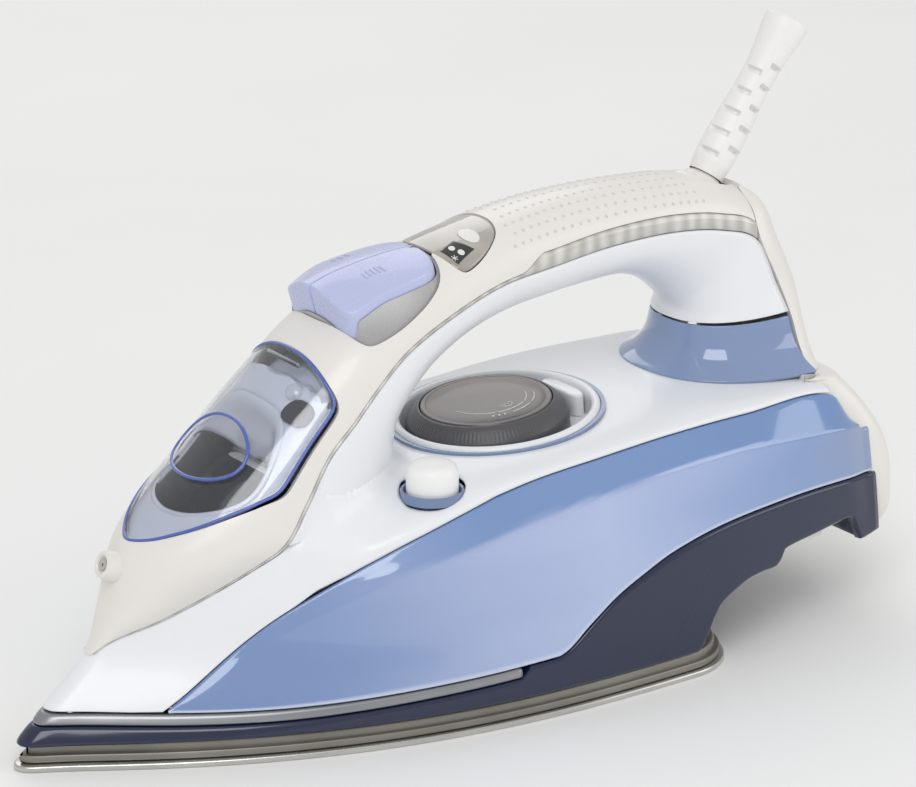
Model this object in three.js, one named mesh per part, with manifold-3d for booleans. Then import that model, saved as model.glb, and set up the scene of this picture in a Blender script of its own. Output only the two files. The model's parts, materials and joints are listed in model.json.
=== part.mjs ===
// Steam iron: soleplate, steam casting, skirt, water tank, white shells, handle, lid, buttons, dial
// and cord boot. Millimetres. The nose points to -X, the heel to +X, and +Z is up from the soleplate.
// The origin is on the floor, under the middle of the overall box.
import * as THREE from 'three';
import { mergeVertices } from 'three/addons/utils/BufferGeometryUtils.js';
import Module from 'manifold-3d';

const wasm = await Module();
wasm.setup();

// ---- Driving sizes ----
const overallLength = 300;
const handleHeight = 144.5;
const soleHalfWidth = 60;
const tailOverhang = 72;
const soleThickness = 2;
const soleCornerRadius = 21;
const noseTipRadius = 4;
const castingInset = 2.5;
const castingFlangeTop = 7.3;
const castingBossTop = 8.2;
const steamHoleRadius = 1.6;
const skirtBottom = 7.6;
const skirtWall = 2.2;
const skirtRoof = 1.5;
const stripHeight = 3.3;
const stripDepth = 1.6;
const tankWall = 2;
const shellWall = 2.2;
const trimHeight = 1.3;
const handTrimHeight = 5.5;
const trimDepth = 2;
const clearance = 0.3;
const bossRearInset = 22;
const dialRadius = 25.5;
const dialTopRadius = 21;
const dialRise = 4.5;
const dialSink = 6;
const dialRimWidth = 6;
const spindleRadius = 2.5;
const elementRadius = 2.4;
const pushButtonRadius = 8;
const pushCupWall = 0.9;
const buttonHalfWidth = 16;
const lidThickness = 2;
const lidDepth = 8;
const inletRadius = 7;
const hoseRadius = 1.8;
const bootLength = 53;
const bootEndRadius = 7.3;
const bootNeckRadius = 5.3;
const cordBoreRadius = 3.3;
const swivelRadius = 9;

// The side-view curves below are drawn for a 300 mm long, 144.5 mm high iron and stretch with it.
const drawnLength = 300;
const drawnHeight = 144.5;
const drawnHalfWidth = 60;
const stretchX = overallLength / drawnLength;
const stretchZ = handleHeight / drawnHeight;
const stretchY = soleHalfWidth / drawnHalfWidth;
const noseTip = -overallLength / 2;
const heelFace = overallLength / 2;
const soleRear = heelFace - tailOverhang;

// ---- Curves ----
const clamp = THREE.MathUtils.clamp;
const lerp = THREE.MathUtils.lerp;

// A smooth function through [x, value] pairs, flat beyond both ends.
function through(pairs, scaleIn, scaleOut) {
  const knots = pairs.map(([a, b]) => [a * scaleIn, b * scaleOut]);
  const slopeAt = (i) => {
    const before = knots[Math.max(i - 1, 0)];
    const after = knots[Math.min(i + 1, knots.length - 1)];
    return (after[1] - before[1]) / (after[0] - before[0]);
  };
  return (x) => {
    if (x <= knots[0][0]) return knots[0][1];
    const last = knots.length - 1;
    if (x >= knots[last][0]) return knots[last][1];
    const i = knots.findIndex((knot) => knot[0] > x) - 1;
    const [[x0, y0], [x1, y1]] = [knots[i], knots[i + 1]];
    const t = (x - x0) / (x1 - x0);
    const h = x1 - x0;
    const [a, b] = [slopeAt(i) * h, slopeAt(i + 1) * h];
    return y0 + t * (a + t * (3 * (y1 - y0) - 2 * a - b + t * (2 * (y0 - y1) + a + b)));
  };
}
const alongX = (pairs) => through(pairs, stretchX, stretchZ);

// The front ridge: X of the nose at height z.
const noseX = through([[0, -150], [8, -149], [14, -143], [17, -140], [31, -125], [45, -118],
  [57, -113], [63, -110], [81, -90], [110, -57], [130, -40]], stretchZ, stretchX);
const tankTop = alongX([[-112, 16], [-104, 21.2], [-94, 28.4], [-78, 40.4], [-65, 48], [-51, 55],
  [-38, 60.3], [-18, 66.3], [3, 71.1], [28, 73.4], [55, 75.3], [85, 75.6], [124, 74], [134, 61.5]]);
const deckTop = alongX([[-75, 47], [-60, 60], [-45, 65.5], [-30, 69], [-10, 73.3], [10, 76],
  [28, 77.7], [60, 79.6], [90, 80], [115, 79], [124, 77.5]]);
const stripTop = alongX([[-140, 16.6], [-82, 15.2], [-27, 17], [6, 18.6]]);
const swoosh = alongX([[-4, 18], [6, 19.1], [15.6, 25.9], [26, 32.7], [37, 37.7], [48, 41.8],
  [65, 45.5], [83, 47.3], [108, 48.1], [139, 46.9]]);
const stripEnd = 5 * stretchX;
const tankLow = (x) => (x < stripEnd ? stripTop(x) : swoosh(x));
const stripLow = (x) => stripTop(x) - stripHeight;

// Half-width of the body skin at (x, z): a blunt ship's bow that leans in towards the tank's top.
function bodyHalf(x, z) {
  const run = Math.max(x - noseX(z), 0);
  const fullRun = (182 - (z - skirtBottom)) * stretchX;
  const plan = soleHalfWidth * (1 - (1 - clamp(run / fullRun, 0, 1)) ** 2.3);
  const rounded = Math.sqrt(plan ** 2 + 2 * noseTipRadius * run * Math.exp(-run / 6));
  const rear = 1 - 0.2 * Math.max(0, (x / stretchX - 35) / 115) ** 2;
  const height = clamp((z - skirtBottom) / (tankTop(x) - skirtBottom), 0, 1);
  const lean = clamp((x / stretchX + 110) / 100, 0, 1);
  const shoulder = THREE.MathUtils.smoothstep(height, 0.84, 1);
  const leaning = 1 - lean * (0.14 * height ** 1.6 + 0.1 * shoulder);
  return Math.max(0.985 * rounded * rear * leaning, 0.6);
}

// Half-width of the soleplate's outline, with round heel corners.
function soleHalf(x) {
  const run = x - noseTip;
  const plan = soleHalfWidth * (1 - (1 - clamp(run / (182 * stretchX), 0, 1)) ** 2.3);
  const rounded = Math.sqrt(plan ** 2 + 2 * noseTipRadius * run * Math.exp(-run / 6));
  const rear = 1 - 0.2 * Math.max(0, (x / stretchX - 35) / 115) ** 2;
  const past = x - (soleRear - soleCornerRadius);
  const corner = past > 0 ? soleCornerRadius - Math.sqrt(Math.max(soleCornerRadius ** 2 - past ** 2,
    0)) : 0;
  return rounded * rear - corner;
}

// Handle stations, nose to rear post: [crown x, z], [trim x, z, half-width], [belly x, z].
const handleStations = [
  [[-141, 17.2], [-139.6, 17.4, 1.2], [-140, 16.9]],
  [[-125.5, 31], [-123.4, 32, 2.8], [-123, 16.3]],
  [[-118.5, 45], [-104.7, 41.5, 13], [-104, 21.2]],
  [[-111, 61], [-83, 55, 24.5], [-83, 36.5]],
  [[-100, 72], [-73, 62, 28.5], [-24, 63]],
  [[-86, 84.5], [-65.5, 72, 28], [-24, 68]],
  [[-70, 98.5], [-57, 84.5, 27], [-23.5, 80]],
  [[-56, 110.5], [-47, 93.5, 26], [-22.5, 88]],
  [[-44, 119.5], [-38, 102, 25], [-18.5, 94]],
  [[-28, 126.5], [-27, 110, 23], [-10, 101.5]],
  [[-8, 135.5], [-9, 118, 21], [2, 108]],
  [[13, 140.5], [10, 124, 19.5], [16, 112]],
  [[32, 143.5], [30, 126.5, 18.5], [31, 114]],
  [[52, 144.5], [52, 129, 18], [46, 115.2]],
  [[75, 144], [77, 129.5, 18], [62, 115.5]],
  [[94, 142.3], [96, 127, 18], [76, 111]],
  [[109, 137.8], [109.5, 122, 18], [86, 103]],
  [[119, 130], [116, 107, 20.5], [88.5, 99.5]],
  [[127, 118], [119.2, 98, 23], [88, 96.2]],
];
// Rear spine and heel cover stations, top to bottom: [seam x, z, half-width], [rear x, z].
const spineStations = [
  [[110.4, 136.6, 7], [112.5, 137.2]], [[110.6, 131, 14], [119, 132]], [[111, 122.5, 18], [124.5, 119.5]],
  [[117.2, 107, 20.5], [130.5, 104]], [[120.6, 96, 23], [131, 95]], [[122, 86, 26], [132, 86]],
  [[123.8, 78.6, 29], [134, 78.4]],
];
const heelStations = [
  [[125.4, 77, 35], [134.6, 77.6]], [[132.5, 67, 40], [142, 68.5]], [[136.8, 58, 43], [148.5, 58]],
  [[138.4, 50, 44.5], [151, 50]], [[139.4, 41, 45], [151.5, 41]], [[140.4, 33, 44.5], [151, 32]],
  [[141.2, 28.5, 43], [147.5, 27.5]],
];
const rail = (stations, pick) => new THREE.CatmullRomCurve3(stations.map((station) => {
  const [x, z, half = 0] = station[pick];
  return new THREE.Vector3(x * stretchX, half * stretchY, z * stretchZ);
}));
const [crown, trimLine, belly] = [0, 1, 2].map((pick) => rail(handleStations, pick));
const [spineSeam, spineRear] = [0, 1].map((pick) => rail(spineStations, pick));
const [heelSeam, heelRear] = [0, 1].map((pick) => rail(heelStations, pick));
const stationAt = (index) => index / (handleStations.length - 1);

// ---- Solids ----
function solid(geometry) {
  const bare = geometry.clone();
  bare.deleteAttribute('normal');
  bare.deleteAttribute('uv');
  const merged = mergeVertices(bare, 1e-4);
  const triVerts = [];
  for (let i = 0; i < merged.index.count; i += 3) {
    const [a, b, c] = [0, 1, 2].map((k) => merged.index.getX(i + k));
    if (a !== b && b !== c && c !== a) triVerts.push(a, b, c);
  }
  const vertProperties = Float32Array.from(merged.attributes.position.array);
  return new wasm.Manifold(new wasm.Mesh({ numProp: 3, vertProperties,
    triVerts: Uint32Array.from(triVerts) }));
}

function toGeometry(manifold) {
  const { vertProperties, triVerts, numProp } = manifold.getMesh();
  const points = new Float32Array((vertProperties.length / numProp) * 3);
  for (let i = 0; i < points.length / 3; i += 1) {
    points.set(vertProperties.subarray(i * numProp, i * numProp + 3), i * 3);
  }
  const geometry = new THREE.BufferGeometry();
  geometry.setAttribute('position', new THREE.BufferAttribute(points, 3));
  geometry.setIndex(new THREE.BufferAttribute(Uint32Array.from(triVerts), 1));
  return geometry;
}

const moved = (geometry, matrix) => solid(geometry.clone().applyMatrix4(matrix));

// A closed solid through sections of equal point counts. Each section runs out along one side and
// back along the other, so point i faces point count - 1 - i, and the end caps zip the two together.
function loft(sections) {
  const count = sections[0].length;
  const index = [];
  const quad = (a, b, c, d) => index.push(a, b, c, a, c, d);
  for (let s = 0; s < sections.length - 1; s += 1) {
    for (let i = 0; i < count; i += 1) {
      const [a, b] = [s * count + i, s * count + ((i + 1) % count)];
      quad(a, b, b + count, a + count);
    }
  }
  const end = (sections.length - 1) * count;
  for (let i = 0; i < Math.floor(count / 2); i += 1) {
    const [a, b, c, d] = [i, i + 1, count - 2 - i, count - 1 - i];
    if (b < c) {
      quad(a, d, c, b);
      quad(a + end, b + end, c + end, d + end);
    } else if (b === c) {
      index.push(a, d, b, a + end, b + end, d + end);
    }
  }
  const points = sections.flat().flatMap((p) => [p.x, p.y, p.z]);
  const build = (list) => {
    const geometry = new THREE.BufferGeometry();
    geometry.setAttribute('position', new THREE.Float32BufferAttribute(points, 3));
    geometry.setIndex(list);
    return solid(geometry);
  };
  const made = build(index);
  return made.volume() > 0 ? made : build(index.map((_, i) => index[i + [0, 1, -1][i % 3]]));
}

const steps = (from, to, count) => Array.from({ length: count + 1 }, (_, i) => lerp(from, to, i / count));
const mirrorY = (points) => [...points, ...points.map((p) => new THREE.Vector3(p.x, -p.y,
  p.z)).reverse()];

// Body slice between two side-view heights, as wide as the body skin less an inset. Each level
// starts at the nose ridge when the slice reaches that far forward.
function bodySlice({ from, to, low, high, inset = 0, stations = 26, rows = 4, endLean = 0 }) {
  return loft(steps(0, 1, stations).map((u) => {
    const spread = lerp(u, (1 - Math.cos(u * Math.PI)) / 2, 0.6);
    const x = lerp(from, to, spread);
    return mirrorY(steps(0, 1, rows).map((t) => {
      const z = lerp(low(x), high(x), t);
      const start = Math.max(from, noseX(z) + inset * 1.4);
      const px = lerp(start, to - endLean * t, spread);
      return new THREE.Vector3(px, -Math.max(bodyHalf(px, z) - inset, 0.5), z);
    }));
  }));
}

// Half of a rounded section: from the seam point out to an edge point, `power` sets how square it is.
function arch(seam, edge, { power = 2.3, inset = 0, start = 0, overlap = 0, count = 8 }) {
  const reach = edge.clone().setY(0).sub(seam.clone().setY(0));
  const length = reach.length();
  reach.normalize();
  const angle = Math.asin(clamp(start / (length - inset), 0, 0.95) ** (power / 2));
  const points = steps(angle, Math.PI - angle, count).map((a) => {
    const side = Math.abs(Math.cos(a)) ** (2 / power) * Math.sign(Math.cos(a));
    const up = Math.sin(a) ** (2 / power) * (length - inset);
    return new THREE.Vector3(seam.x + reach.x * up, -side * (seam.y - inset), seam.z + reach.z * up);
  });
  if (overlap > 0) {
    [points[0], points.at(-1)].forEach((p, i) => {
      const extra = p.clone().addScaledVector(reach, -overlap);
      if (i === 0) points.unshift(extra);
      else points.push(extra);
    });
  }
  return points;
}

function archLoft(seamRail, edgeRail, from, to, count, options) {
  return loft(steps(from, to, count).map((u) => arch(seamRail.getPoint(u), edgeRail.getPoint(u),
    options(u))));
}

// Thin curved sheet between an outer and an inner arch.
function archSheet(seamRail, edgeRail, places, wallThickness, options) {
  return loft(places.map((u) => {
    const [seam, edge] = [seamRail.getPoint(u), edgeRail.getPoint(u)];
    const outer = arch(seam, edge, options(u));
    const thick = Math.min(wallThickness, seam.y * 0.55);
    const inner = arch(seam, edge, { ...options(u), inset: (options(u).inset ?? 0) + thick });
    return [...outer, ...inner.reverse()];
  }));
}

const up = new THREE.Matrix4().makeRotationX(Math.PI / 2);
const shift = (x, y, z) => new THREE.Matrix4().makeTranslation(x, y, z);
const turnedY = (angle) => new THREE.Matrix4().makeRotationY(angle);
const lathe = (profile, segments = 32) => new THREE.LatheGeometry(
  profile.map(([r, z]) => new THREE.Vector2(r, z)), segments).applyMatrix4(up);
const rod = (radius, z0, z1, segments = 24) => lathe([[0, z0], [radius, z0], [radius, z1], [0, z1]],
  segments);
const tube = (outer, inner, z0, z1, segments = 32) => lathe(
  [[inner, z0], [outer, z0], [outer, z1], [inner, z1], [inner, z0]], segments);
const box = (x0, x1, y0, y1, z0, z1) => new THREE.BoxGeometry(x1 - x0, y1 - y0, z1 - z0)
  .translate((x0 + x1) / 2, (y0 + y1) / 2, (z0 + z1) / 2);

const iron = new THREE.Group();
function add(name, shape, colour, roughness, metalness, matrix = null) {
  const geometry = shape.isBufferGeometry ? shape : toGeometry(shape);
  const material = new THREE.MeshStandardMaterial({ color: colour, roughness, metalness });
  const mesh = new THREE.Mesh(geometry, material);
  mesh.name = name;
  if (matrix) mesh.applyMatrix4(matrix);
  iron.add(mesh);
}

const white = '#ece9e4';
const coolWhite = '#f0f1f3';
const navy = '#1d2a4d';
const steel = '#c9c9c6';
const clear = '#cfd6e2';
const lavender = '#bcc4ea';
const darkGrey = '#56565a';

// ---- Soleplate, casting and heater ----
function soleOutline(inset, rearInset = inset) {
  const [start, end] = [noseTip + inset * 1.5, soleRear - rearInset];
  const half = (x) => Math.max(soleHalf(lerp(noseTip, soleRear, (x - start) / (end - start))) - inset, 0);
  const xs = steps(0, 1, 24).map((u) => lerp(start, end, (1 - Math.cos(u * Math.PI)) / 2));
  const near = xs.map((x) => new THREE.Vector2(x, -half(x)));
  const far = xs.slice(1).reverse().map((x) => new THREE.Vector2(x, half(x)));
  return new THREE.Shape([...near, ...far]);
}
const plate = (shape, z0, z1) => new THREE.ExtrudeGeometry(shape, { depth: z1 - z0, bevelEnabled: false })
  .translate(0, 0, z0);

let sole = solid(plate(soleOutline(0), 0, soleThickness));
const steamRows = [[-118, 1], [-96, 2], [-72, 2], [-46, 2], [-18, 2], [12, 2]];
steamRows.forEach(([x, count]) => {
  steps(-1, 1, Math.max(count - 1, 1)).forEach((side) => {
    const y = side * soleHalf(x * stretchX) * 0.62 * (count - 1);
    sole = sole.subtract(moved(rod(steamHoleRadius, -1, soleThickness + 1, 10),
      shift(x * stretchX, y, 0)));
  });
});
add('soleplate', sole, steel, 0.3, 0.9);

const elementPath = new THREE.CurvePath();
const [elementRear, elementNose, elementSide] = [soleRear - bossRearInset - 2, -92 * stretchX,
  30 * stretchY];
elementPath.add(new THREE.LineCurve3(new THREE.Vector3(elementRear, -elementSide, 0),
  new THREE.Vector3(-40 * stretchX, -elementSide, 0)));
elementPath.add(new THREE.CubicBezierCurve3(new THREE.Vector3(-40 * stretchX, -elementSide, 0),
  new THREE.Vector3(elementNose - 12, -elementSide * 0.55, 0),
  new THREE.Vector3(elementNose - 12, elementSide * 0.55, 0),
  new THREE.Vector3(-40 * stretchX, elementSide, 0)));
elementPath.add(new THREE.LineCurve3(new THREE.Vector3(-40 * stretchX, elementSide, 0),
  new THREE.Vector3(elementRear, elementSide, 0)));
const elementZ = castingBossTop - elementRadius - clearance;
function elementTube(radius, sides, pathSteps) {
  const ring = new THREE.Shape(Array.from({ length: sides }, (_, i) => new THREE.Vector2(
    radius * Math.cos((i / sides) * 2 * Math.PI), radius * Math.sin((i / sides) * 2 * Math.PI))));
  return new THREE.ExtrudeGeometry(ring, { steps: pathSteps, extrudePath: elementPath,
    bevelEnabled: false })
    .translate(0, 0, elementZ);
}
const flangeBottom = soleThickness + clearance;
let casting = solid(plate(soleOutline(castingInset), flangeBottom, castingFlangeTop))
  .add(solid(plate(soleOutline(castingInset + 6, bossRearInset), castingFlangeTop - 1, castingBossTop)));
casting = casting.subtract(solid(elementTube(elementRadius + clearance, 6, 22)))
  .subtract(solid(elementTube(elementRadius + clearance, 6, 22).translate(0, 0, elementRadius)));
casting = casting.subtract(solid(box(elementRear - 1, elementRear + 4, -elementSide - 3, -elementSide + 3,
  elementZ - elementRadius - clearance, 20))).subtract(solid(box(elementRear - 1, elementRear + 4,
  elementSide - 3, elementSide + 3, elementZ - elementRadius - clearance, 20)));
add('sole_casting', casting, '#9a978f', 0.45, 0.85);
add('heating_element', solid(elementTube(elementRadius, 6, 22)), '#8d8f92', 0.4, 0.9);
const coverTop = castingBossTop + clearance + 1.2;
add('steam_chamber_cover', plate(soleOutline(castingInset + 24 * stretchY, 60),
  castingBossTop + clearance, coverTop), '#b5b6b4', 0.4, 0.85);

// ---- Navy skirt with its sloping roof, and the silver strip on it ----
const stripTail = stripEnd - 14;
const skirtTop = (x) => lerp(stripLow(x), swoosh(x), THREE.MathUtils.smoothstep(x, stripTail + 8,
  stripEnd)) - clearance;
// Underside behind the soleplate, measured from the soleplate's rear: a rising sweep, the cord-wrap
// notch and the heel block.
const underCurve = through([[-20, 7.6], [-17.5, 12], [-14.3, 18.4], [-11, 21.5], [-6.2, 23.9],
  [0.2, 26.3], [6.7, 27.3], [13.4, 27.9], [15.2, 31], [17, 32.3], [29.5, 33.7], [43, 34.8], [48, 34.4],
  [50, 31], [51.3, 27], [54, 26.4], [63, 27.8]].map(([x, z]) => [x + soleRear, z]), 1, 1);
const skirtRear = 138.6 * stretchX;
const skirtNose = noseTip + 1;
const dialX = 18 * stretchX;
const dialTilt = -Math.atan2(deckTop(dialX + 34) - deckTop(dialX - 34), 68);
const dialFrame = shift(dialX, 0, deckTop(dialX)).multiply(turnedY(dialTilt));
const pushX = -24 * stretchX;
const pushY = -31 * stretchY;
const pushDeck = 69.5 * stretchZ;

let skirt = bodySlice({ from: skirtNose, to: skirtRear, low: underCurve, high: skirtTop, stations: 40,
  rows: 2 });
skirt = skirt.subtract(bodySlice({ from: skirtNose + 8, to: skirtRear - skirtWall, inset: skirtWall,
  low: (x) => (x > soleRear - bossRearInset ? underCurve(x) + skirtWall : skirtBottom - 3),
  high: (x) => Math.max(skirtTop(x) - skirtRoof, skirtBottom + 0.8), stations: 20, rows: 1 }));
skirt = skirt.subtract(moved(rod(spindleRadius + 2, -70, 0, 16), dialFrame));
skirt = skirt.subtract(moved(rod(3, 6, 30, 12), shift(pushX, pushY, 0)));
add('skirt', skirt, navy, 0.18, 0);

const stripNose = -142.2 * stretchX;
const strip = bodySlice({ from: stripNose, to: stripTail, low: stripLow,
  high: (x) => stripTop(x) - clearance, stations: 22, rows: 1 }).subtract(bodySlice({ from: stripNose + 5, to: stripEnd + 1, inset: stripDepth, low: (x) => stripLow(x) - 1, high: (x) => stripTop(x) + 1, stations: 20, rows: 1 }));
add('trim_strip', strip, '#9a9ca0', 0.3, 0.6);

// ---- Water tank: an open tub with sealed columns for the dial spindle and the valve rod ----
const tankNose = -110 * stretchX;
const tankRear = 137 * stretchX;
const tankCeil = (x) => tankTop(x) - 3 * clearance;
const tankOuter = bodySlice({ from: tankNose, to: tankRear, low: tankLow, high: tankCeil, stations: 24,
  rows: 3, endLean: 3 * stretchX });
let tank = tankOuter.subtract(bodySlice({ from: tankNose + 9, to: tankRear - tankWall, inset: tankWall,
  low: (x) => tankLow(x) + tankWall, high: (x) => tankTop(x) + 2, stations: 14, rows: 2,
  endLean: 3 * stretchX }));
const columns = [[dialFrame, spindleRadius + 2, -80, -14], [shift(pushX, pushY, 0), 3, 0, 56 * stretchZ]];
columns.forEach(([matrix, bore, z0, z1]) => {
  tank = tank.add(moved(rod(bore + tankWall, z0, z1, 16), matrix).intersect(tankOuter));
  tank = tank.subtract(moved(rod(bore, z0 - 20, z1 + 5, 16), matrix));
});
add('water_tank', tank, '#9fb4dc', 0.08, 0);

// ---- White lower shell: nose walls, deck, front post and the lower half of the handle ----
const deckFrom = -76 * stretchX;
const deckTo = 123.5 * stretchX;
const deckSection = (x, inset, overlap) => {
  const seam = new THREE.Vector3(x, bodyHalf(x, tankTop(x)), tankTop(x) + clearance / 2);
  return arch(seam, new THREE.Vector3(x, 0, deckTop(x)), { power: 3, inset, overlap, count: 6 });
};
const deck = (inset, overlap, from, to) => loft(steps(from, to,
  10).map((x) => deckSection(x, inset, overlap)));
const noseWalls = (inset, grow) => loft(steps(stationAt(inset ? 1.2 : 0), stationAt(5), 11).map((u) => {
  const seam = trimLine.getPoint(u);
  const base = new THREE.Vector3(seam.x, 0, Math.max(tankTop(seam.x), stripTop(seam.x)) + clearance);
  return mirrorY(steps(0, 1, 2).map((t) => {
    const z = lerp(base.z - grow, seam.z - 0.4 + grow, t);
    const skin = Math.max(lerp(bodyHalf(Math.max(seam.x, noseX(base.z) + 1), base.z), seam.y, t), 0.7);
    return new THREE.Vector3(seam.x, -Math.max(skin - inset, 0.5), z);
  }));
}));
const bellyOptions = (inset, overlap) => () => ({ power: 2.4, inset, overlap, count: 6 });
const postBase = stationAt(4);
const postEnd = 1;
const bellySolid = (inset, overlap) => archLoft(trimLine, belly, postBase, postEnd, 16,
  bellyOptions(inset, overlap));
let lowerShell = noseWalls(0, 0).add(deck(0, 0, deckFrom, deckTo)).add(bellySolid(0, 0));
lowerShell = lowerShell.subtract(noseWalls(shellWall, 1)).subtract(deck(shellWall, 3, deckFrom + 6,
  deckTo - 3))
  .subtract(bellySolid(shellWall, 3));
const postFloor = arch(trimLine.getPoint(postBase), belly.getPoint(postBase),
  { power: 2.4, inset: shellWall, count: 6 });
const duct = (z) => postFloor.map((p) => new THREE.Vector3(p.x, p.y, p.z + z));
lowerShell = lowerShell.subtract(loft([duct(-3 * shellWall), duct(shellWall)]));
const wellRadius = dialRadius + 3;
const rimOuter = wellRadius + dialRimWidth;
lowerShell = lowerShell.add(moved(tube(rimOuter, wellRadius, -4.5, 0.9, 24), dialFrame));
lowerShell = lowerShell.subtract(moved(rod(wellRadius, -20, 20, 24), dialFrame));
const pushFrame = shift(pushX, pushY, pushDeck);
lowerShell = lowerShell.subtract(moved(rod(pushButtonRadius + 0.9 + pushCupWall, -12, 20, 18),
  pushFrame));
add('lower_shell', lowerShell, coolWhite, 0.3, 0);

// ---- White upper shell over the nose and the handle, with its openings ----
const trimRise = (u) => lerp(trimHeight, handTrimHeight, THREE.MathUtils.smoothstep(u, stationAt(11.3),
  stationAt(12)));
const upperEnd = stationAt(16);
const seamSteps = steps(stationAt(0.35), upperEnd, 26);
const upperOptions = (u) => ({ start: trimRise(u) + clearance });
const slopeFrame = (from, to, at) => {
  const direction = new THREE.Vector2(to.x - from.x, to.z - from.z);
  const centre = from.clone().lerp(to, at);
  return shift(centre.x, 0, centre.z).multiply(turnedY(-direction.angle()));
};
const crownAt = (index) => crown.getPoint(stationAt(index));
const prism = (shape, z0, z1, matrix) => moved(plate(shape, z0, z1), matrix);

// The filler lid's outline on the front slope: pointed at the nose, round corners at the top.
const lidFrame = slopeFrame(crownAt(3), crownAt(7), 0);
const lidLength = 74.5 * stretchX;
const lidHalfWidth = 25.2 * stretchY;
function lidOutline(inset) {
  const [start, end, side] = [2 + inset * 2.2, lidLength - inset, lidHalfWidth - inset];
  const shape = new THREE.Shape();
  shape.moveTo(start, 0);
  shape.bezierCurveTo(start + 2, -side * 0.42, lidLength * 0.26, -side * 0.83, lidLength * 0.5, -side);
  shape.lineTo(end - 7, -side * 0.93);
  shape.quadraticCurveTo(end - 2, -side * 0.8, end - 0.5, -side * 0.5);
  shape.lineTo(end, 0);
  const near = shape.getPoints(5);
  const far = near.slice(1, -1).map((p) => new THREE.Vector2(p.x, -p.y)).reverse();
  return new THREE.Shape([...near, ...far]);
}
const roundedPlate = (x0, x1, y0, y1, r) => {
  const shape = new THREE.Shape();
  shape.moveTo(x0 + r, y0).lineTo(x1 - r, y0).quadraticCurveTo(x1, y0, x1, y0 + r);
  shape.lineTo(x1, y1 - r).quadraticCurveTo(x1, y1, x1 - r, y1);
  shape.lineTo(x0 + r, y1).quadraticCurveTo(x0, y1, x0, y1 - r);
  shape.lineTo(x0, y0 + r).quadraticCurveTo(x0, y0, x0 + r, y0);
  return new THREE.Shape(shape.getPoints(3));
};
const buttonFrame = shift(-25 * stretchX, 0, 130.8 * stretchZ).multiply(turnedY(-0.27));
const buttonFront = -18.5 * stretchX;
const buttonBack = 15.5 * stretchX;
const wellGap = 0.6;
const wellWall = 0.9;
const wellHalf = buttonHalfWidth;
const wellOutline = (inset) => roundedPlate(buttonFront - wellGap - wellWall + inset,
  buttonBack + wellGap + wellWall - inset, -wellHalf + inset, wellHalf - inset, 4);
const windowFrame = slopeFrame(crownAt(10), crownAt(11), 0.5);
const windowOutline = (inset) => {
  const shape = new THREE.Shape();
  const [front, back, side] = [-11.2 * stretchX + inset, 13 * stretchX - inset, 13.5 * stretchY - inset];
  const bend = 9 * stretchX;
  shape.moveTo(front, -side).lineTo(1, -side).bezierCurveTo(bend, -side, back, -side * 0.6, back, 0);
  shape.bezierCurveTo(back, side * 0.6, bend, side, 1, side).lineTo(front, side);
  return new THREE.Shape(shape.getPoints(4));
};
const bootLean = 0.613;
const swivelFrame = shift(99.5 * stretchX, 0, 136 * stretchZ).multiply(turnedY(bootLean));
const nozzleFrame = slopeFrame(crownAt(2), crownAt(3), 0.86);

let upperShell = archSheet(trimLine, crown, seamSteps, shellWall, upperOptions);
upperShell = upperShell.subtract(prism(lidOutline(-0.9), -30, 30, lidFrame))
  .subtract(prism(wellOutline(-clearance), -12, 20, buttonFrame))
  .subtract(prism(windowOutline(-clearance), -8, 20, windowFrame))
  .subtract(moved(rod(swivelRadius - 1.6, -shellWall, 30, 24), swivelFrame))
  .subtract(moved(rod(3.3, -4, 9, 16), nozzleFrame));
add('upper_shell', upperShell, white, 0.35, 0);

// ---- Clear trims along both sides of the seam between the shells ----
const trimPoints = (u, depth) => {
  const [seam, edge] = [trimLine.getPoint(u), crown.getPoint(u)];
  const rise = trimRise(u);
  const reach = edge.clone().setY(0).sub(seam.clone().setY(0)).normalize();
  const wide = Math.min(depth, seam.y * 0.5);
  const at = (height, inset) => new THREE.Vector3(seam.x + reach.x * height, -(seam.y - inset),
    seam.z + reach.z * height);
  return [at(2 * clearance, 0), at(rise, 0.15), at(rise, wide), at(2 * clearance, wide)];
};
[['trim_left', 1], ['trim_right', -1]].forEach(([name, side]) => {
  const trim = loft(seamSteps.slice(1).map((u) => trimPoints(u, trimDepth)));
  add(name, side === 1 ? trim : trim.mirror([0, 1, 0]), clear, 0.12, 0);
});

// ---- Rear post: blue collar, ribbed spine, heel cover and cord cleat ----
const collarStations = [
  [[123, 80.8, 33], [77.5, 81]], [[121.6, 83.5, 29], [82.5, 83.5]],
  [[120.6, 88, 25.5], [86, 88]], [[119, 97, 23.4], [88, 95.7]],
];
const [collarSeam, collarFront] = [0, 1].map((pick) => rail(collarStations, pick));
add('rear_collar', archSheet(collarSeam, collarFront, steps(0, 1, 6), 2, () => ({ power: 2.4 })),
  '#7d93bd', 0.12, 0);
add('rear_spine', archSheet(spineSeam, spineRear, steps(0, 1, 9), shellWall, () => ({ power: 2.6 })),
  white, 0.4, 0);
const heel = archSheet(heelSeam, heelRear, steps(0, 1, 9), shellWall, () => ({ power: 4, count: 10 }));
add('heel_cover', heel.subtract(solid(box(heelFace, heelFace + 9, -90, 90, 0, 90))), white, 0.4, 0);
const cleatHalf = 44 * stretchY;
add('cord_cleat', box(soleRear + 25, soleRear + 41, -cleatHalf, cleatHalf, 28, 31.4), white, 0.4, 0);

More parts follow.
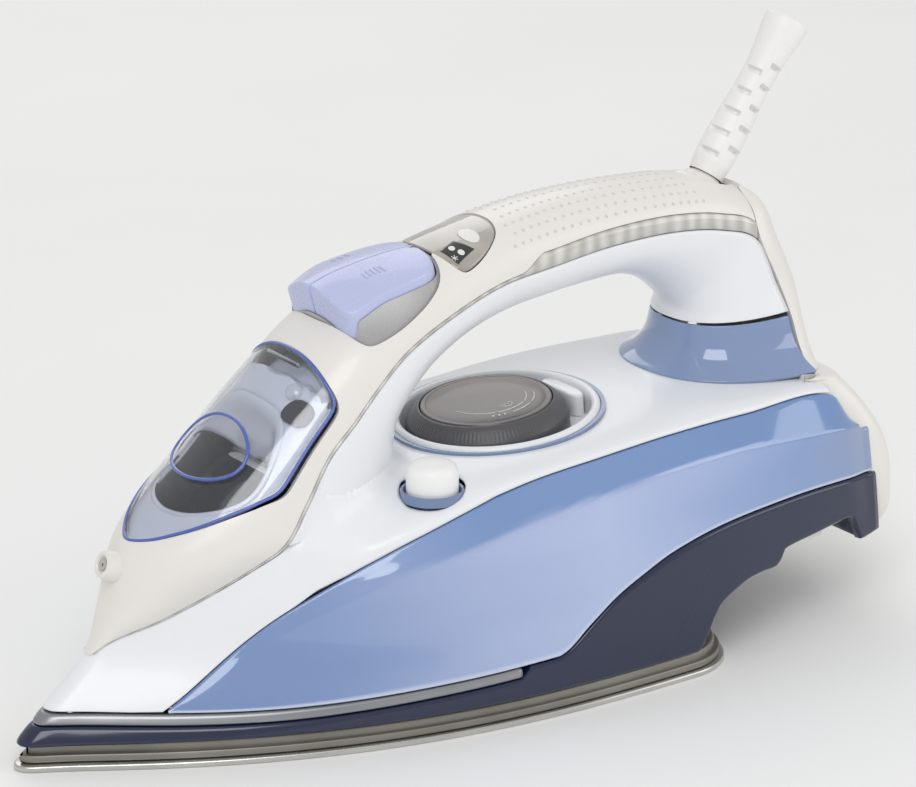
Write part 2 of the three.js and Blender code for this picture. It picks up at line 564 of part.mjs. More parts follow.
// ---- Filler: basin with its inlet, clear lid on a pin, spray nozzle ----
const frontSolid = (inset, overlap = 0) => archLoft(trimLine, crown, stationAt(2.4), stationAt(8), 8,
  () => ({ inset, overlap }));
const inletX = -86 * stretchX;
const basinDrop = lidDepth + 1;
const inletBottom = 52 * stretchZ;
const basinAir = prism(lidOutline(2.2), -16, 31, lidFrame).subtract(frontSolid(basinDrop));
let basin = frontSolid(lidThickness + 1).intersect(prism(lidOutline(0.6), -40, 30, lidFrame))
  .subtract(frontSolid(basinDrop + 1.6, 2))
  .add(moved(tube(inletRadius + 1.5, inletRadius - 1, inletBottom, 90, 20), shift(inletX, 0, 0)))
  .subtract(basinAir)
  .subtract(moved(rod(inletRadius, inletBottom - 1, 140, 20), shift(inletX, 0, 0)));
const pinAlong = lidLength - 1.6;
const pinDrop = -1.9;
const acrossY = (geometry) => geometry.clone().applyMatrix4(up);
const pinFrame = lidFrame.clone().multiply(shift(pinAlong, 0, pinDrop));
const [pinRadius, knuckleRadius, knuckleHalf, pinHalf] = [0.8, 1.7, 6, 9.5];
basin = basin.subtract(moved(acrossY(rod(knuckleRadius + 0.6, -knuckleHalf - 0.5, knuckleHalf + 0.5,
  12)), pinFrame));
const lugs = [-1, 1].map((side) => moved(box(-1.9, 1.9, side * 8 - 1.2, side * 8 + 1.2, -8, 1.6),
  pinFrame));
basin = lugs.reduce((made, lug) => made.add(lug.subtract(moved(acrossY(rod(pinRadius + clearance, -20,
  20, 12)), pinFrame))), basin);
add('filler_basin', basin, '#d9deee', 0.25, 0);
add('lid_pin', moved(acrossY(rod(pinRadius, -pinHalf, pinHalf, 12)), pinFrame), '#b9bbbd', 0.3, 0.9);
const knuckle = moved(acrossY(rod(knuckleRadius, -knuckleHalf, knuckleHalf, 16)), pinFrame);
let lid = frontSolid(0).subtract(frontSolid(lidThickness)).intersect(prism(lidOutline(0), -30, 30,
  lidFrame));
[-1, 1].forEach((side) => {
  lid = lid.subtract(moved(box(-3, 3, side * 8 - 1.6, side * 8 + 1.6, -9, 4), pinFrame));
});
lid = lid.add(knuckle)
  .subtract(moved(acrossY(rod(pinRadius + clearance, -20, 20, 12)), pinFrame));
add('filler_lid', lid, '#dfe8f7', 0.06, 0);
const nozzle = solid(rod(2.9, -7, 1.6, 18)).subtract(solid(rod(0.8, -9, 4, 10)));
add('spray_nozzle', nozzle, '#c9ccd2', 0.35, 0, nozzleFrame);

// ---- Spray and steam buttons, their springs and their pumps ----
const stemY = 7;
let well = prism(wellOutline(0), -14, -2.5, buttonFrame).subtract(prism(wellOutline(wellWall), -12.8, 5,
  buttonFrame));
[-1, 1].forEach((side) => {
  well = well.subtract(moved(rod(2.6, -20, 0, 14), buttonFrame.clone().multiply(shift(0, side * stemY,
    0))));
});
add('button_well', well, '#8b8d92', 0.4, 0);
[['spray', -1], ['steam', 1]].forEach(([name, side]) => {
  const outline = roundedPlate(buttonFront, buttonBack, clearance, wellHalf - wellWall - wellGap, 3.5);
  const cap = plate(outline, -8, 0);
  const frame = buttonFrame.clone().multiply(shift(0, side * stemY, 0));
  const capSide = side === 1 ? solid(cap) : solid(cap).mirror([0, 1, 0]);
  const stem = moved(lathe([[0, -20], [3.1, -20], [3.1, -18], [2, -18], [2, -7.5], [0, -7.5]], 14),
    shift(0, side * stemY, 0));
  add(`${name}_button`, toGeometry(capSide.add(stem)), lavender, 0.3, 0, buttonFrame);
  const barrel = lathe([[1.2, -27], [4.4, -27], [4.4, -14.3], [3.4, -14.3], [3.4, -25.8], [1.2, -25.8],
    [1.2, -27]], 16);
  add(`${name}_pump_barrel`, barrel, '#d4d4d0', 0.5, 0, frame);
  add(`${name}_spring`, tube(3.9, 2.9, -12.4, -8.3, 14), '#a9abad', 0.3, 0.9, frame);
});
function hose(pumpSide, points) {
  const foot = new THREE.Vector3(-0.6, pumpSide * stemY, -28.7).applyMatrix4(buttonFrame);
  const rest = points.map(([x, y, z]) => new THREE.Vector3(x * stretchX, y * stretchY, z * stretchZ));
  const ring = new THREE.Shape(Array.from({ length: 8 }, (_, i) => new THREE.Vector2(
    hoseRadius * Math.cos(i * Math.PI / 4), hoseRadius * Math.sin(i * Math.PI / 4))));
  const extrudePath = new THREE.CatmullRomCurve3([foot, ...rest]);
  return new THREE.ExtrudeGeometry(ring, { steps: 12, bevelEnabled: false, extrudePath });
}
const sprayRoute = [[-38, -11, 88], [-60, -13, 68], [-86, -12, 46], [-101, -4, 50]];
const steamRoute = [[-30, 8, 92], [-42, 8, 76], [-46, 8, 56]];
add('spray_hose', hose(-1, sprayRoute), '#d9d3c4', 0.6, 0);
add('steam_hose', hose(1, steamRoute), '#d9d3c4', 0.6, 0);

// ---- Indicator window with its panel, lamps and board ----
const beamSolid = (inset) => archLoft(trimLine, crown, stationAt(9), stationAt(12.6), 8,
  () => ({ inset }));
const windowSheet = (inset, thick, outline) => beamSolid(inset).subtract(beamSolid(inset + thick))
  .intersect(prism(windowOutline(outline), -12, 20, windowFrame));
const lampSpots = [-1, 1].map((side) => [-4 * stretchX, side * 5]);
const autoOffFrame = windowFrame.clone().multiply(shift(6 * stretchX, 0, 0));
add('indicator_window', windowSheet(0, 1.8, 0).subtract(moved(rod(4.3, -8, 8, 20), autoOffFrame)),
  '#8f8b86', 0.08, 0);
let panel = windowSheet(2.8, 1.2, 0.8).subtract(moved(rod(4.3, -9, 8, 20), autoOffFrame));
lampSpots.forEach(([x, y]) => {
  panel = panel.subtract(moved(rod(2.3, -12, 8, 14), windowFrame.clone().multiply(shift(x, y, 0))));
});
add('indicator_panel', panel, '#2b2b2e', 0.5, 0);
add('auto_off_lamp', rod(4, -6, 0.7, 20), '#f4f4f2', 0.3, 0, autoOffFrame);
lampSpots.forEach(([x, y], i) => {
  add(`indicator_lamp_${i + 1}`, rod(2, -8.2, -3, 14), '#f4f4f2', 0.3, 0, windowFrame.clone().multiply(shift(x, y, 0)));
});
add('control_board', box(-9 * stretchX, 11 * stretchX, -11 * stretchY, 11 * stretchY, -10.1, -8.5),
  '#3c6b46', 0.6, 0, windowFrame);

// ---- Temperature dial in its well, thermostat and terminals ----
const wellFloor = -dialSink - 3;
const cupRadius = wellRadius - 0.4;
add('dial_well', lathe([[spindleRadius + clearance, wellFloor], [cupRadius, wellFloor],
  [cupRadius, 0.6], [cupRadius - 1.6, 0.6], [cupRadius - 1.6, wellFloor + 1.5],
  [spindleRadius + clearance, wellFloor + 1.5], [spindleRadius + clearance, wellFloor]], 24), coolWhite,
  0.3, 0, dialFrame);
const capRadius = dialTopRadius - 0.5;
add('dial_ring', lathe([[4, -dialSink], [dialRadius, -dialSink], [dialRadius, dialRise - 5],
  [dialTopRadius, dialRise], [capRadius + clearance, dialRise], [capRadius + clearance, dialRise - 1.6],
  [4, dialRise - 1.6], [4, -dialSink]], 24), darkGrey, 0.5, 0, dialFrame);
add('dial_cap', lathe([[0, dialRise - 1.3], [capRadius, dialRise - 1.3], [capRadius, dialRise],
  [capRadius - 2, dialRise + 0.5], [0, dialRise + 0.8]], 24), '#6a625f', 0.35, 0.1, dialFrame);
const spindleEnd = -(deckTop(dialX) - 19) / Math.cos(dialTilt);
add('dial_spindle', rod(spindleRadius, spindleEnd, dialRise - 1.9, 16), '#d8d5cd', 0.5, 0, dialFrame);
const thermostatSpot = new THREE.Vector3(0, 0, spindleEnd).applyMatrix4(dialFrame);
add('thermostat', rod(8, coverTop + clearance, 18, 16), '#c4b48f', 0.5, 0.3,
  shift(thermostatSpot.x, 0, 0));
add('thermal_fuse', box(-6, 6, -2.5, 2.5, coverTop + clearance, coverTop + 6), '#d8d2c0', 0.5, 0.2,
  shift(elementRear - 10, 0, 0));
const terminalTop = 22;
[-1, 1].forEach((side, i) => {
  const tagSide = side * elementSide;
  add(`heater_terminal_${i + 1}`, box(elementRear + clearance, elementRear + 3, tagSide - elementRadius,
    tagSide + elementRadius, elementZ - elementRadius, terminalTop), '#b8b6ae', 0.4, 0.9);
});
add('terminal_block', box(96 * stretchX, 106 * stretchX, -8, 8, 104 * stretchZ, 120 * stretchZ),
  '#e2dccb', 0.6, 0);
add('cord_clamp', box(80 * stretchX, 88 * stretchX, -7, 7, 126 * stretchZ, 130 * stretchZ), '#3a3a3c',
  0.5, 0);

// ---- Self-clean push button with its valve rod, cup and spring ----
const cupFloor = -9;
const pushTop = 9;
const cupInner = pushButtonRadius + 0.5;
const cupOuter = cupInner + pushCupWall;
add('push_cup', lathe([[2.4, cupFloor], [cupOuter, cupFloor], [cupOuter, 0.8], [cupInner, 0.8],
  [cupInner, cupFloor + 1], [2.4, cupFloor + 1], [2.4, cupFloor]], 18), '#8fa3d0', 0.2, 0, pushFrame);
add('push_button', lathe([[0, 17 - pushDeck], [1.6, 17 - pushDeck], [1.6, -3.5],
  [pushButtonRadius - 0.2, -3.5], [pushButtonRadius, pushTop - 1.5], [pushButtonRadius - 1.4, pushTop],
  [0, pushTop + 0.3]], 18), '#f4f4f5', 0.3, 0, pushFrame);
add('push_spring', tube(4.4, 3.4, cupFloor + 1.2, -3.8, 14), '#a9abad', 0.3, 0.9, pushFrame);

// ---- Cord outlet: socket, swivelling ball and the ribbed boot ----
const ballSection = (radius, from, to, count) => steps(from, to,
  count).map((z) => [Math.sqrt(radius ** 2 - z ** 2), z]);
const ballRadius = swivelRadius - 1.8;
const socketProfile = [[8.6, -6], [8.6, -2.5], ...ballSection(ballRadius + clearance, -2.5, -6, 3)];
add('cord_socket', lathe([...socketProfile, socketProfile[0]], 16), '#d4d4d0', 0.5, 0, swivelFrame);
add('cord_swivel', lathe([[cordBoreRadius, -Math.sqrt(ballRadius ** 2 - cordBoreRadius ** 2)],
  ...ballSection(ballRadius, -5.5, 5.5, 5), [cordBoreRadius,
  Math.sqrt(ballRadius ** 2 - cordBoreRadius ** 2)], [cordBoreRadius,
  -Math.sqrt(ballRadius ** 2 - cordBoreRadius ** 2)]], 18), white, 0.4, 0, swivelFrame);
const bootBase = ballRadius + 0.8;
const bootEnd = bootBase + bootLength;
const bulge = 6.2;
let boot = solid(lathe([[cordBoreRadius, bootBase], [5.4, bootBase], [bulge, bootBase + 3],
  [bulge, bootBase + 26], [bootNeckRadius, bootBase + 35], [bootEndRadius, bootEnd - 4],
  [bootEndRadius, bootEnd], [cordBoreRadius, bootEnd], [cordBoreRadius, bootBase]], 16));
steps(0, 1, 5).forEach((u, i) => {
  const z = bootBase + lerp(6, 36, u);
  [-1, 1].forEach((side) => {
    const notch = i % 2 ? box(-12, 12, side * 7 - 2.6, side * 7 + 2.6, z - 1, z + 1)
      : box(side * 7 - 2.6, side * 7 + 2.6, -12, 12, z - 1, z + 1);
    boot = boot.subtract(solid(notch));
  });
});
add('cord_boot', toGeometry(boot), '#f2f2f0', 0.5, 0, swivelFrame);

export default iron;
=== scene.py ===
import json
from math import asin, atan2, cos, exp, hypot, pi, radians, sin, sqrt

import bmesh
import bpy
from mathutils import Matrix, Vector
from mathutils.bvhtree import BVHTree
from mathutils.geometry import intersect_line_line_2d

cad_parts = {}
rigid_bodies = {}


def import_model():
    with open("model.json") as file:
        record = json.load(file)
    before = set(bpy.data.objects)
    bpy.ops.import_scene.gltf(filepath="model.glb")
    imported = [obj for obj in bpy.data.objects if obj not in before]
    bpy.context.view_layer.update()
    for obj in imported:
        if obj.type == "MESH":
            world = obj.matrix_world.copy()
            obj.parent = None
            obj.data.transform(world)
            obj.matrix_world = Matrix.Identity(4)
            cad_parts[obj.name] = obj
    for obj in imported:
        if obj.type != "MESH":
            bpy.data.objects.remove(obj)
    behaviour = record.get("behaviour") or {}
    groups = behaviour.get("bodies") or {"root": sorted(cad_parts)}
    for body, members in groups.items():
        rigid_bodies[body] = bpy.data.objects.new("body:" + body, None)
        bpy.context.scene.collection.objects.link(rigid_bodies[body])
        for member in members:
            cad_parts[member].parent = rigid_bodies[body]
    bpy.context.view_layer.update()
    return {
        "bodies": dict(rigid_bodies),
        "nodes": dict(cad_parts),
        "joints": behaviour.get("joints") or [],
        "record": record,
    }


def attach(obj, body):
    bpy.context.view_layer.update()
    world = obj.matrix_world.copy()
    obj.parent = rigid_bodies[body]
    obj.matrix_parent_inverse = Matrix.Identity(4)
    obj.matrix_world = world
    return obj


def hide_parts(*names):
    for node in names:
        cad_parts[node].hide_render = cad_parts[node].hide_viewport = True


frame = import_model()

scene = bpy.context.scene

# ---- Camera ----
# A long lens stands a metre off the iron's left side, a little above the handle, so that the sole,
# the tank, the dial and the whole handle are in view.
TARGET = Vector((0.0337, 0.0381, 0.070))
AZIMUTH, ELEVATION, DISTANCE = radians(-35), radians(18.5), 1.15
towards_camera = Vector((sin(AZIMUTH) * cos(ELEVATION), -cos(AZIMUTH) * cos(ELEVATION), sin(ELEVATION)))
camera = bpy.data.objects.new("camera", bpy.data.cameras.new("camera"))
camera.data.lens = 141
camera.data.sensor_width = 36
camera.location = TARGET + towards_camera * DISTANCE
camera.rotation_euler = (-towards_camera).to_track_quat("-Z", "Y").to_euler()
scene.collection.objects.link(camera)
scene.camera = camera

# ---- Studio ----
# A white paper sweep on the floor, a big soft box high on the left, a weaker one on the right for
# the long reflections in the tank, and an even white surround.
PAPER_SIZE = 4


def linear(hex_colour):
    """A display colour such as #9fb4dc as linear red, green, blue and alpha."""
    channels = [int(hex_colour[i:i + 2], 16) / 255 for i in (1, 3, 5)]
    return [c / 12.92 if c <= 0.04045 else ((c + 0.055) / 1.055) ** 2.4 for c in channels] + [1.0]


def node(tree, kind, inputs, **settings):
    """Adds a shader node; an input is given a value, or is linked when it is given a socket."""
    made = tree.nodes.new("ShaderNode" + kind)
    for name, value in settings.items():
        setattr(made, name, value)
    for name, value in inputs.items():
        if isinstance(value, bpy.types.NodeSocket):
            tree.links.new(value, made.inputs[name])
        else:
            made.inputs[name].default_value = value
    return made


def finish_of(name, **surface):
    """A new material, its node tree and its shader, with the shader's plain values set."""
    made = bpy.data.materials.new(name)
    made.use_nodes = True
    shader = made.node_tree.nodes["Principled BSDF"]
    for socket, value in surface.items():
        shader.inputs[socket.replace("_", " ")].default_value = value
    return made, made.node_tree, shader


def noise(tree, scale, detail=2.0):
    """Cloudy noise in the object's own space."""
    place = node(tree, "TexCoord", {}).outputs["Object"]
    return node(tree, "TexNoise", {"Vector": place, "Scale": scale, "Detail": detail}).outputs["Fac"]


def remap(tree, value, low, high):
    """Stretches a value from 0 to 1 over a range."""
    return node(tree, "MapRange", {"Value": value, "To Min": low, "To Max": high}).outputs["Result"]


def blend(tree, factor, first, second):
    """Mixes two colours."""
    colours = [c if isinstance(c, bpy.types.NodeSocket) else linear(c) for c in (first, second)]
    mixed = node(tree, "MixRGB", {"Fac": factor, "Color1": colours[0], "Color2": colours[1]})
    return mixed.outputs["Color"]


def colour_ramp(tree, factor, stops):
    """Colours along a factor, from pairs of position and colour."""
    ramp = node(tree, "ValToRGB", {"Fac": factor})
    elements = ramp.color_ramp.elements
    while len(elements) < len(stops):
        elements.new(0.5)
    for stop, (position, colour) in zip(elements, stops):
        stop.position = position
        stop.color = linear(colour)
    return ramp.outputs["Color"]


def wire(tree, shader, **sources):
    """Links what a shader reads, such as its Base_Color and its Roughness."""
    for socket, source in sources.items():
        tree.links.new(source, shader.inputs[socket.replace("_", " ")])


paper, tree, shader = finish_of("white_paper", Roughness=0.9)
fibre = node(tree, "TexNoise", {"Scale": 40.0, "Detail": 3.0})
tone = colour_ramp(tree, fibre.outputs["Fac"], [(0.0, "#f4f4f3"), (1.0, "#fbfbfa")])
wire(tree, shader, Base_Color=tone)
bm = bmesh.new()
bmesh.ops.create_grid(bm, x_segments=1, y_segments=1, size=PAPER_SIZE)
floor_mesh = bpy.data.meshes.new("floor")
bm.to_mesh(floor_mesh)
bm.free()
floor_mesh.materials.append(paper)
floor = bpy.data.objects.new("floor", floor_mesh)
scene.collection.objects.link(floor)

surround = bpy.data.worlds.new("surround")
surround.use_nodes = True
ray = node(surround.node_tree, "LightPath", {})
backdrop = surround.node_tree.nodes["Background"]
brightness = remap(surround.node_tree, ray.outputs["Is Camera Ray"], 0.62, 1.0)
wire(surround.node_tree, backdrop, Strength=brightness)
backdrop.inputs["Color"].default_value = linear("#ffffff")
scene.world = surround
SOFT_BOXES = {  # name: place, size and power
    "key": ((-0.75, -0.95, 1.25), 0.9, 9),
    "side": ((1.1, -0.9, 0.55), 0.7, 2.5),
    "rear": ((0.5, 1.2, 1.1), 1.0, 3.5),
}
for name, (place, size, power) in SOFT_BOXES.items():
    lamp = bpy.data.lights.new(name, "AREA")
    lamp.energy = power
    lamp.size = size
    lamp_object = bpy.data.objects.new(name, lamp)
    lamp_object.location = place
    towards_iron = Vector((0, 0, 0.06)) - lamp_object.location
    lamp_object.rotation_euler = towards_iron.to_track_quat("-Z", "Y").to_euler()
    scene.collection.objects.link(lamp_object)
scene.view_settings.view_transform = "Standard"

# ---- Soleplate ----
# A 2 mm stainless plate, polished underneath, with steam holes punched in pairs and a rolled rim.
# It is clinched to the aluminium casting above it.
MM = 0.001
LENGTH, SOLE_HALF, SOLE_REAR, SOLE_CORNER, NOSE_RADIUS = 300, 60, 78, 21, 4
NOSE = -LENGTH / 2
SOLE_THICKNESS = 2
NOSE_RUN, FULLNESS = 182, 2.3
TAPER_START, TAPER_RUN, TAPER = 35, 115, 0.2
HOLE_RADIUS = 1.6


def mix(a, b, t):
    return a + (b - a) * t


def limit(value, low=0.0, high=1.0):
    return min(max(value, low), high)


def ease(t, low=0.0, high=1.0):
    """0 below low, 1 above high, and a smooth step between them."""
    t = limit((t - low) / (high - low))
    return t * t * (3 - 2 * t)


def plan_half(x, run, full_run):
    """Half-width of the ship-shaped plan, with a small round at the tip and a taper to the heel."""
    plan = SOLE_HALF * (1 - (1 - limit(run / full_run)) ** FULLNESS)
    rounded = sqrt(plan ** 2 + 2 * NOSE_RADIUS * run * exp(-run / 6))
    return rounded * (1 - TAPER * max(0, (x - TAPER_START) / TAPER_RUN) ** 2)


def sole_half(x):
    past = max(x - (SOLE_REAR - SOLE_CORNER), 0)
    corner = SOLE_CORNER - sqrt(max(SOLE_CORNER ** 2 - past ** 2, 0))
    return plan_half(x, max(x - NOSE, 0), NOSE_RUN) - corner


def draped(columns, rows, place):
    """A grid laid on a surface: place(u, v) gives each point, in millimetres, for u and v from 0 to 1."""
    made = bmesh.new()
    bmesh.ops.create_grid(made, x_segments=columns, y_segments=rows, size=0.5)
    for vert in made.verts:
        vert.co = place(vert.co.x + 0.5, vert.co.y + 0.5) * MM
    bmesh.ops.remove_doubles(made, verts=made.verts, dist=2e-6)
    return made


def plate(outline, z0, z1, edge, segments=3):
    """A flat plate between two heights, with rounded edges, from its outline's points."""
    made = bmesh.new()
    face = made.faces.new([made.verts.new((x * MM, y * MM, z0 * MM)) for x, y in outline])
    raised = bmesh.ops.extrude_face_region(made, geom=[face])["geom"]
    bmesh.ops.translate(made, verts=[g for g in raised if isinstance(g, bmesh.types.BMVert)],
                        vec=(0, 0, (z1 - z0) * MM))
    bmesh.ops.recalc_face_normals(made, faces=made.faces)
    rims = [e for e in made.edges if e.calc_face_angle(0) > radians(60)]
    if edge:
        bmesh.ops.bevel(made, geom=rims, offset=edge * MM, segments=segments, affect="EDGES", profile=0.5,
                        material=-1)
    return made


def boat(inset, count=110):
    """The soleplate's outline, moved in by an inset."""
    start, end = NOSE + inset * 1.5, SOLE_REAR - inset
    near = []
    for i in range(count + 1):
        x = mix(start, end, (1 - cos(i / count * pi)) / 2)
        drawn = mix(NOSE, SOLE_REAR, (x - start) / (end - start))
        near.append((x, -max(sole_half(drawn) - inset, 0)))
    near[0], near[-1] = (start, 0), (end, near[-1][1])
    return near + [(x, -y) for x, y in reversed(near[1:])]


def piece(made, name, body, slot, material, *replaced, crease=38, wall=None, edge=None):
    """Makes a bmesh one of the iron's pieces; wall gives a sheet its thickness inwards, in millimetres."""
    mesh = bpy.data.meshes.new(name)
    made.to_mesh(mesh)
    made.free()
    mesh.materials.append(material)
    mesh.shade_smooth()
    mesh.set_sharp_from_angle(angle=radians(crease))
    obj = bpy.data.objects.new(name, mesh)
    scene.collection.objects.link(obj)
    if wall:
        skin = obj.modifiers.new("wall", "SOLIDIFY")
        skin.thickness = wall * MM
        skin.offset = -1
        skin.use_quality_normals = True
    if edge:
        rim = obj.modifiers.new("edge", "BEVEL")
        rim.width = edge * MM
        rim.segments = 2
        rim.limit_method = "ANGLE"
        rim.angle_limit = radians(55)
        rim.harden_normals = True
    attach(obj, body)
    if replaced:
        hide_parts(*replaced)
    return obj


def facing(made, away_from):
    """Turns a sheet's faces so that they look away from a point, given in millimetres."""
    centre = Vector(away_from) * MM
    made.normal_update()
    total = sum(f.normal.dot(f.calc_center_median() - centre) * f.calc_area() for f in made.faces)
    if total < 0:
        bmesh.ops.reverse_faces(made, faces=made.faces)
    return made


def rolled_metal(name, dark, light, roughness, grain_mm=0.35, metallic=1.0, depth=0.02):
    """Rolled or cast metal: tiny grain in its colour, its gloss and its surface."""
    made, tree, shader = finish_of(name, Metallic=metallic)
    grain = noise(tree, 1 / (grain_mm * MM), 4.0)
    bump = node(tree, "Bump", {"Height": grain, "Strength": 0.25, "Distance": depth * MM})
    wire(tree, shader, Base_Color=blend(tree, noise(tree, 45.0), dark, light),
         Roughness=remap(tree, grain, roughness - 0.06, roughness + 0.08), Normal=bump.outputs["Normal"])
    return made


# Stainless steel, rolled and polished: a clean light grey with a soft, slightly uneven gloss.
stainless = rolled_metal("polished_stainless_steel", "#b9b8b4", "#dad9d5", 0.24, metallic=0.9)
bm = plate(boat(0), 0, SOLE_THICKNESS, 0.7)
sole = piece(bm, "soleplate_rim", "root", "sole_steel", stainless, "soleplate")
punches = bmesh.new()
STEAM_ROWS = {-118: 1, -96: 2, -72: 2, -46: 2, -18: 2, 12: 2}
for x, count in STEAM_ROWS.items():
    for side in (-1, 1)[:count]:
        spot = Matrix.Translation(Vector((x, side * sole_half(x) * 0.62 * (count - 1),
                                          SOLE_THICKNESS / 2)) * MM)
        bmesh.ops.create_cone(punches, cap_ends=True, segments=24, radius1=HOLE_RADIUS * MM,
                              radius2=HOLE_RADIUS * MM, depth=2 * SOLE_THICKNESS * MM, matrix=spot)


def cut_away(obj, tool, name):
    """Cuts a bmesh's solids out of a piece, once and for all."""
    mesh = bpy.data.meshes.new(name)
    tool.to_mesh(mesh)
    tool.free()
    cutter = bpy.data.objects.new(name, mesh)
    scene.collection.objects.link(cutter)
    cut = obj.modifiers.new("cut", "BOOLEAN")
    cut.object = cutter
    cut.solver = "EXACT"
    bpy.context.view_layer.update()
    carved = bpy.data.meshes.new_from_object(obj.evaluated_get(bpy.context.evaluated_depsgraph_get()))
    obj.modifiers.clear()
    obj.data = carved
    bpy.data.objects.remove(cutter)


cut_away(sole, punches, "steam_hole_punches")

# ---- Casting and heater ----
# The pressure-cast aluminium body of the sole: a flange over the plate and a raised boss in which the
# U-shaped heating element lies under the steam chamber's cover. It is left as cast, greyish brown.
FLANGE_TOP, FLANGE_INSET = 7.3, 2.5
cast_aluminium = rolled_metal("as_cast_aluminium", "#7f7b74", "#a19d95", 0.42, grain_mm=0.6, metallic=0.75,
                              depth=0.06)
CASTING_FLOOR, STEP_INSET = SOLE_THICKNESS + 0.3, FLANGE_INSET - 1.3
bm = plate(boat(FLANGE_INSET), CASTING_FLOOR, FLANGE_TOP, 0.9)
step = plate(boat(STEP_INSET), CASTING_FLOOR, SOLE_THICKNESS + 2.6, 0.5)
step_mesh = bpy.data.meshes.new("casting_step")
step.to_mesh(step_mesh)
step.free()
bm.from_mesh(step_mesh)
piece(bm, "casting_flange", "root", "cast_aluminium", cast_aluminium, "sole_casting")

# ---- Navy skirt ----
# The glossy ABS base moulding that the tank and the handle are screwed down on. It is a ship's hull in
# plan, sweeps up behind the soleplate, and carries the cord-wrap notch under the heel.
NOSE_RIDGE = [[0, -150], [8, -149], [14, -143], [17, -140], [31, -125], [45, -118], [57, -113], [63, -110],
              [81, -90], [110, -57], [130, -40]]
TANK_TOP = [[-112, 16], [-104, 21.2], [-94, 28.4], [-78, 40.4], [-65, 48], [-51, 55], [-38, 60.3],
            [-18, 66.3], [3, 71.1], [28, 73.4], [55, 75.3], [85, 75.6], [124, 74], [134, 61.5]]
CREASE = [[-60, 49], [-24, 56], [1, 62], [31, 65], [51, 67], [80, 67.5], [134, 63]]
STRIP_TOP = [[-140, 16.6], [-82, 15.2], [-27, 17], [6, 18.6]]
SWOOSH = [[-4, 18], [6, 19.1], [15.6, 25.9], [26, 32.7], [37, 37.7], [48, 41.8], [65, 45.5], [83, 47.3],
          [108, 48.1], [139, 46.9]]
UNDERSIDE = [[-20, 7.6], [-17.5, 12], [-14.3, 18.4], [-11, 21.5], [-6.2, 23.9], [0.2, 26.3], [6.7, 27.3],
             [13.4, 27.9], [15.2, 31], [17, 32.3], [29.5, 33.7], [43, 34.8], [48, 34.4], [50, 31],
             [51.3, 27], [54, 26.4], [63, 27.8]]
SKIRT_BOTTOM, STRIP_HEIGHT, STRIP_END, SKIRT_REAR = 7.6, 3.3, 5, 138.6
GAP = 0.3
BODY_SHARE, WALL_LEAN, SHOULDER_LEAN = 0.985, 0.14, 0.1


def through(pairs):
    """A smooth function through pairs of x and value, flat beyond both ends."""
    last = len(pairs) - 1

    def slope(i):
        before, after = pairs[max(i - 1, 0)], pairs[min(i + 1, last)]
        return (after[1] - before[1]) / (after[0] - before[0])

    slopes = [slope(i) for i in range(last + 1)]

    def value(x):
        if x <= pairs[0][0]:
            return pairs[0][1]
        if x >= pairs[last][0]:
            return pairs[last][1]
        i = next(k for k in range(last) if x < pairs[k + 1][0])
        (x0, y0), (x1, y1) = pairs[i], pairs[i + 1]
        h = x1 - x0
        t, a, b = (x - x0) / h, slopes[i] * h, slopes[i + 1] * h
        return y0 + t * (a + t * (3 * (y1 - y0) - 2 * a - b + t * (2 * (y0 - y1) + a + b)))

    return value


SIDE_CURVES = (NOSE_RIDGE, TANK_TOP, CREASE, STRIP_TOP, SWOOSH)
nose_x, tank_top, crease_z, strip_top, swoosh = map(through, SIDE_CURVES)
underside = through([[x + SOLE_REAR, z] for x, z in UNDERSIDE])


def skirt_top(x):
    return mix(strip_top(x) - STRIP_HEIGHT, swoosh(x), ease(x, STRIP_END - 14.5, STRIP_END - 11)) - GAP


def body_half(x, z):
    """Half-width of the body's skin: a blunt bow that leans in towards the tank's top."""
    run = max(x - nose_x(z), 0)
    height = limit((z - SKIRT_BOTTOM) / (tank_top(x) - SKIRT_BOTTOM))
    lean = limit((x + 110) / 100)
    creased = limit((z - crease_z(x)) / max(tank_top(x) - crease_z(x), 1))
    shoulder = mix(ease(height, 0.84, 1), creased, ease(x, -70, -20))
    leaning = 1 - lean * (WALL_LEAN * height ** 1.6 + SHOULDER_LEAN * shoulder)
    return BODY_SHARE * plan_half(x, run, NOSE_RUN - (z - SKIRT_BOTTOM)) * leaning


def skin_point(x, z, side, inset=0):
    """A point on the body's skin, moved straight inwards by an inset; side is -1 for the near side."""
    half = body_half(x, z)
    if not inset:
        return Vector((x, side * half, z))
    slope = (body_half(x + 0.3, z) - half) / 0.3
    length = hypot(slope, 1)
    return Vector((x + inset * slope / length, side * max(half - inset / length, 0), z))


def rounded_rows(height, radius, lip, rows):
    """Rows across a band with rolled edges: pairs of height along it and inset."""
    r = min(radius, height / 2.4)
    arc = [(r * (1 - sin(a)), r * (1 - cos(a))) for a in (pi / 2, pi / 3, pi / 6, 0)]
    middle = [(mix(r, height - r, i / rows), 0) for i in range(1, rows)]
    upper = [(height - z, inset) for z, inset in reversed(arc)]
    return [(0, lip), *arc, *middle, *upper, (height, lip)]


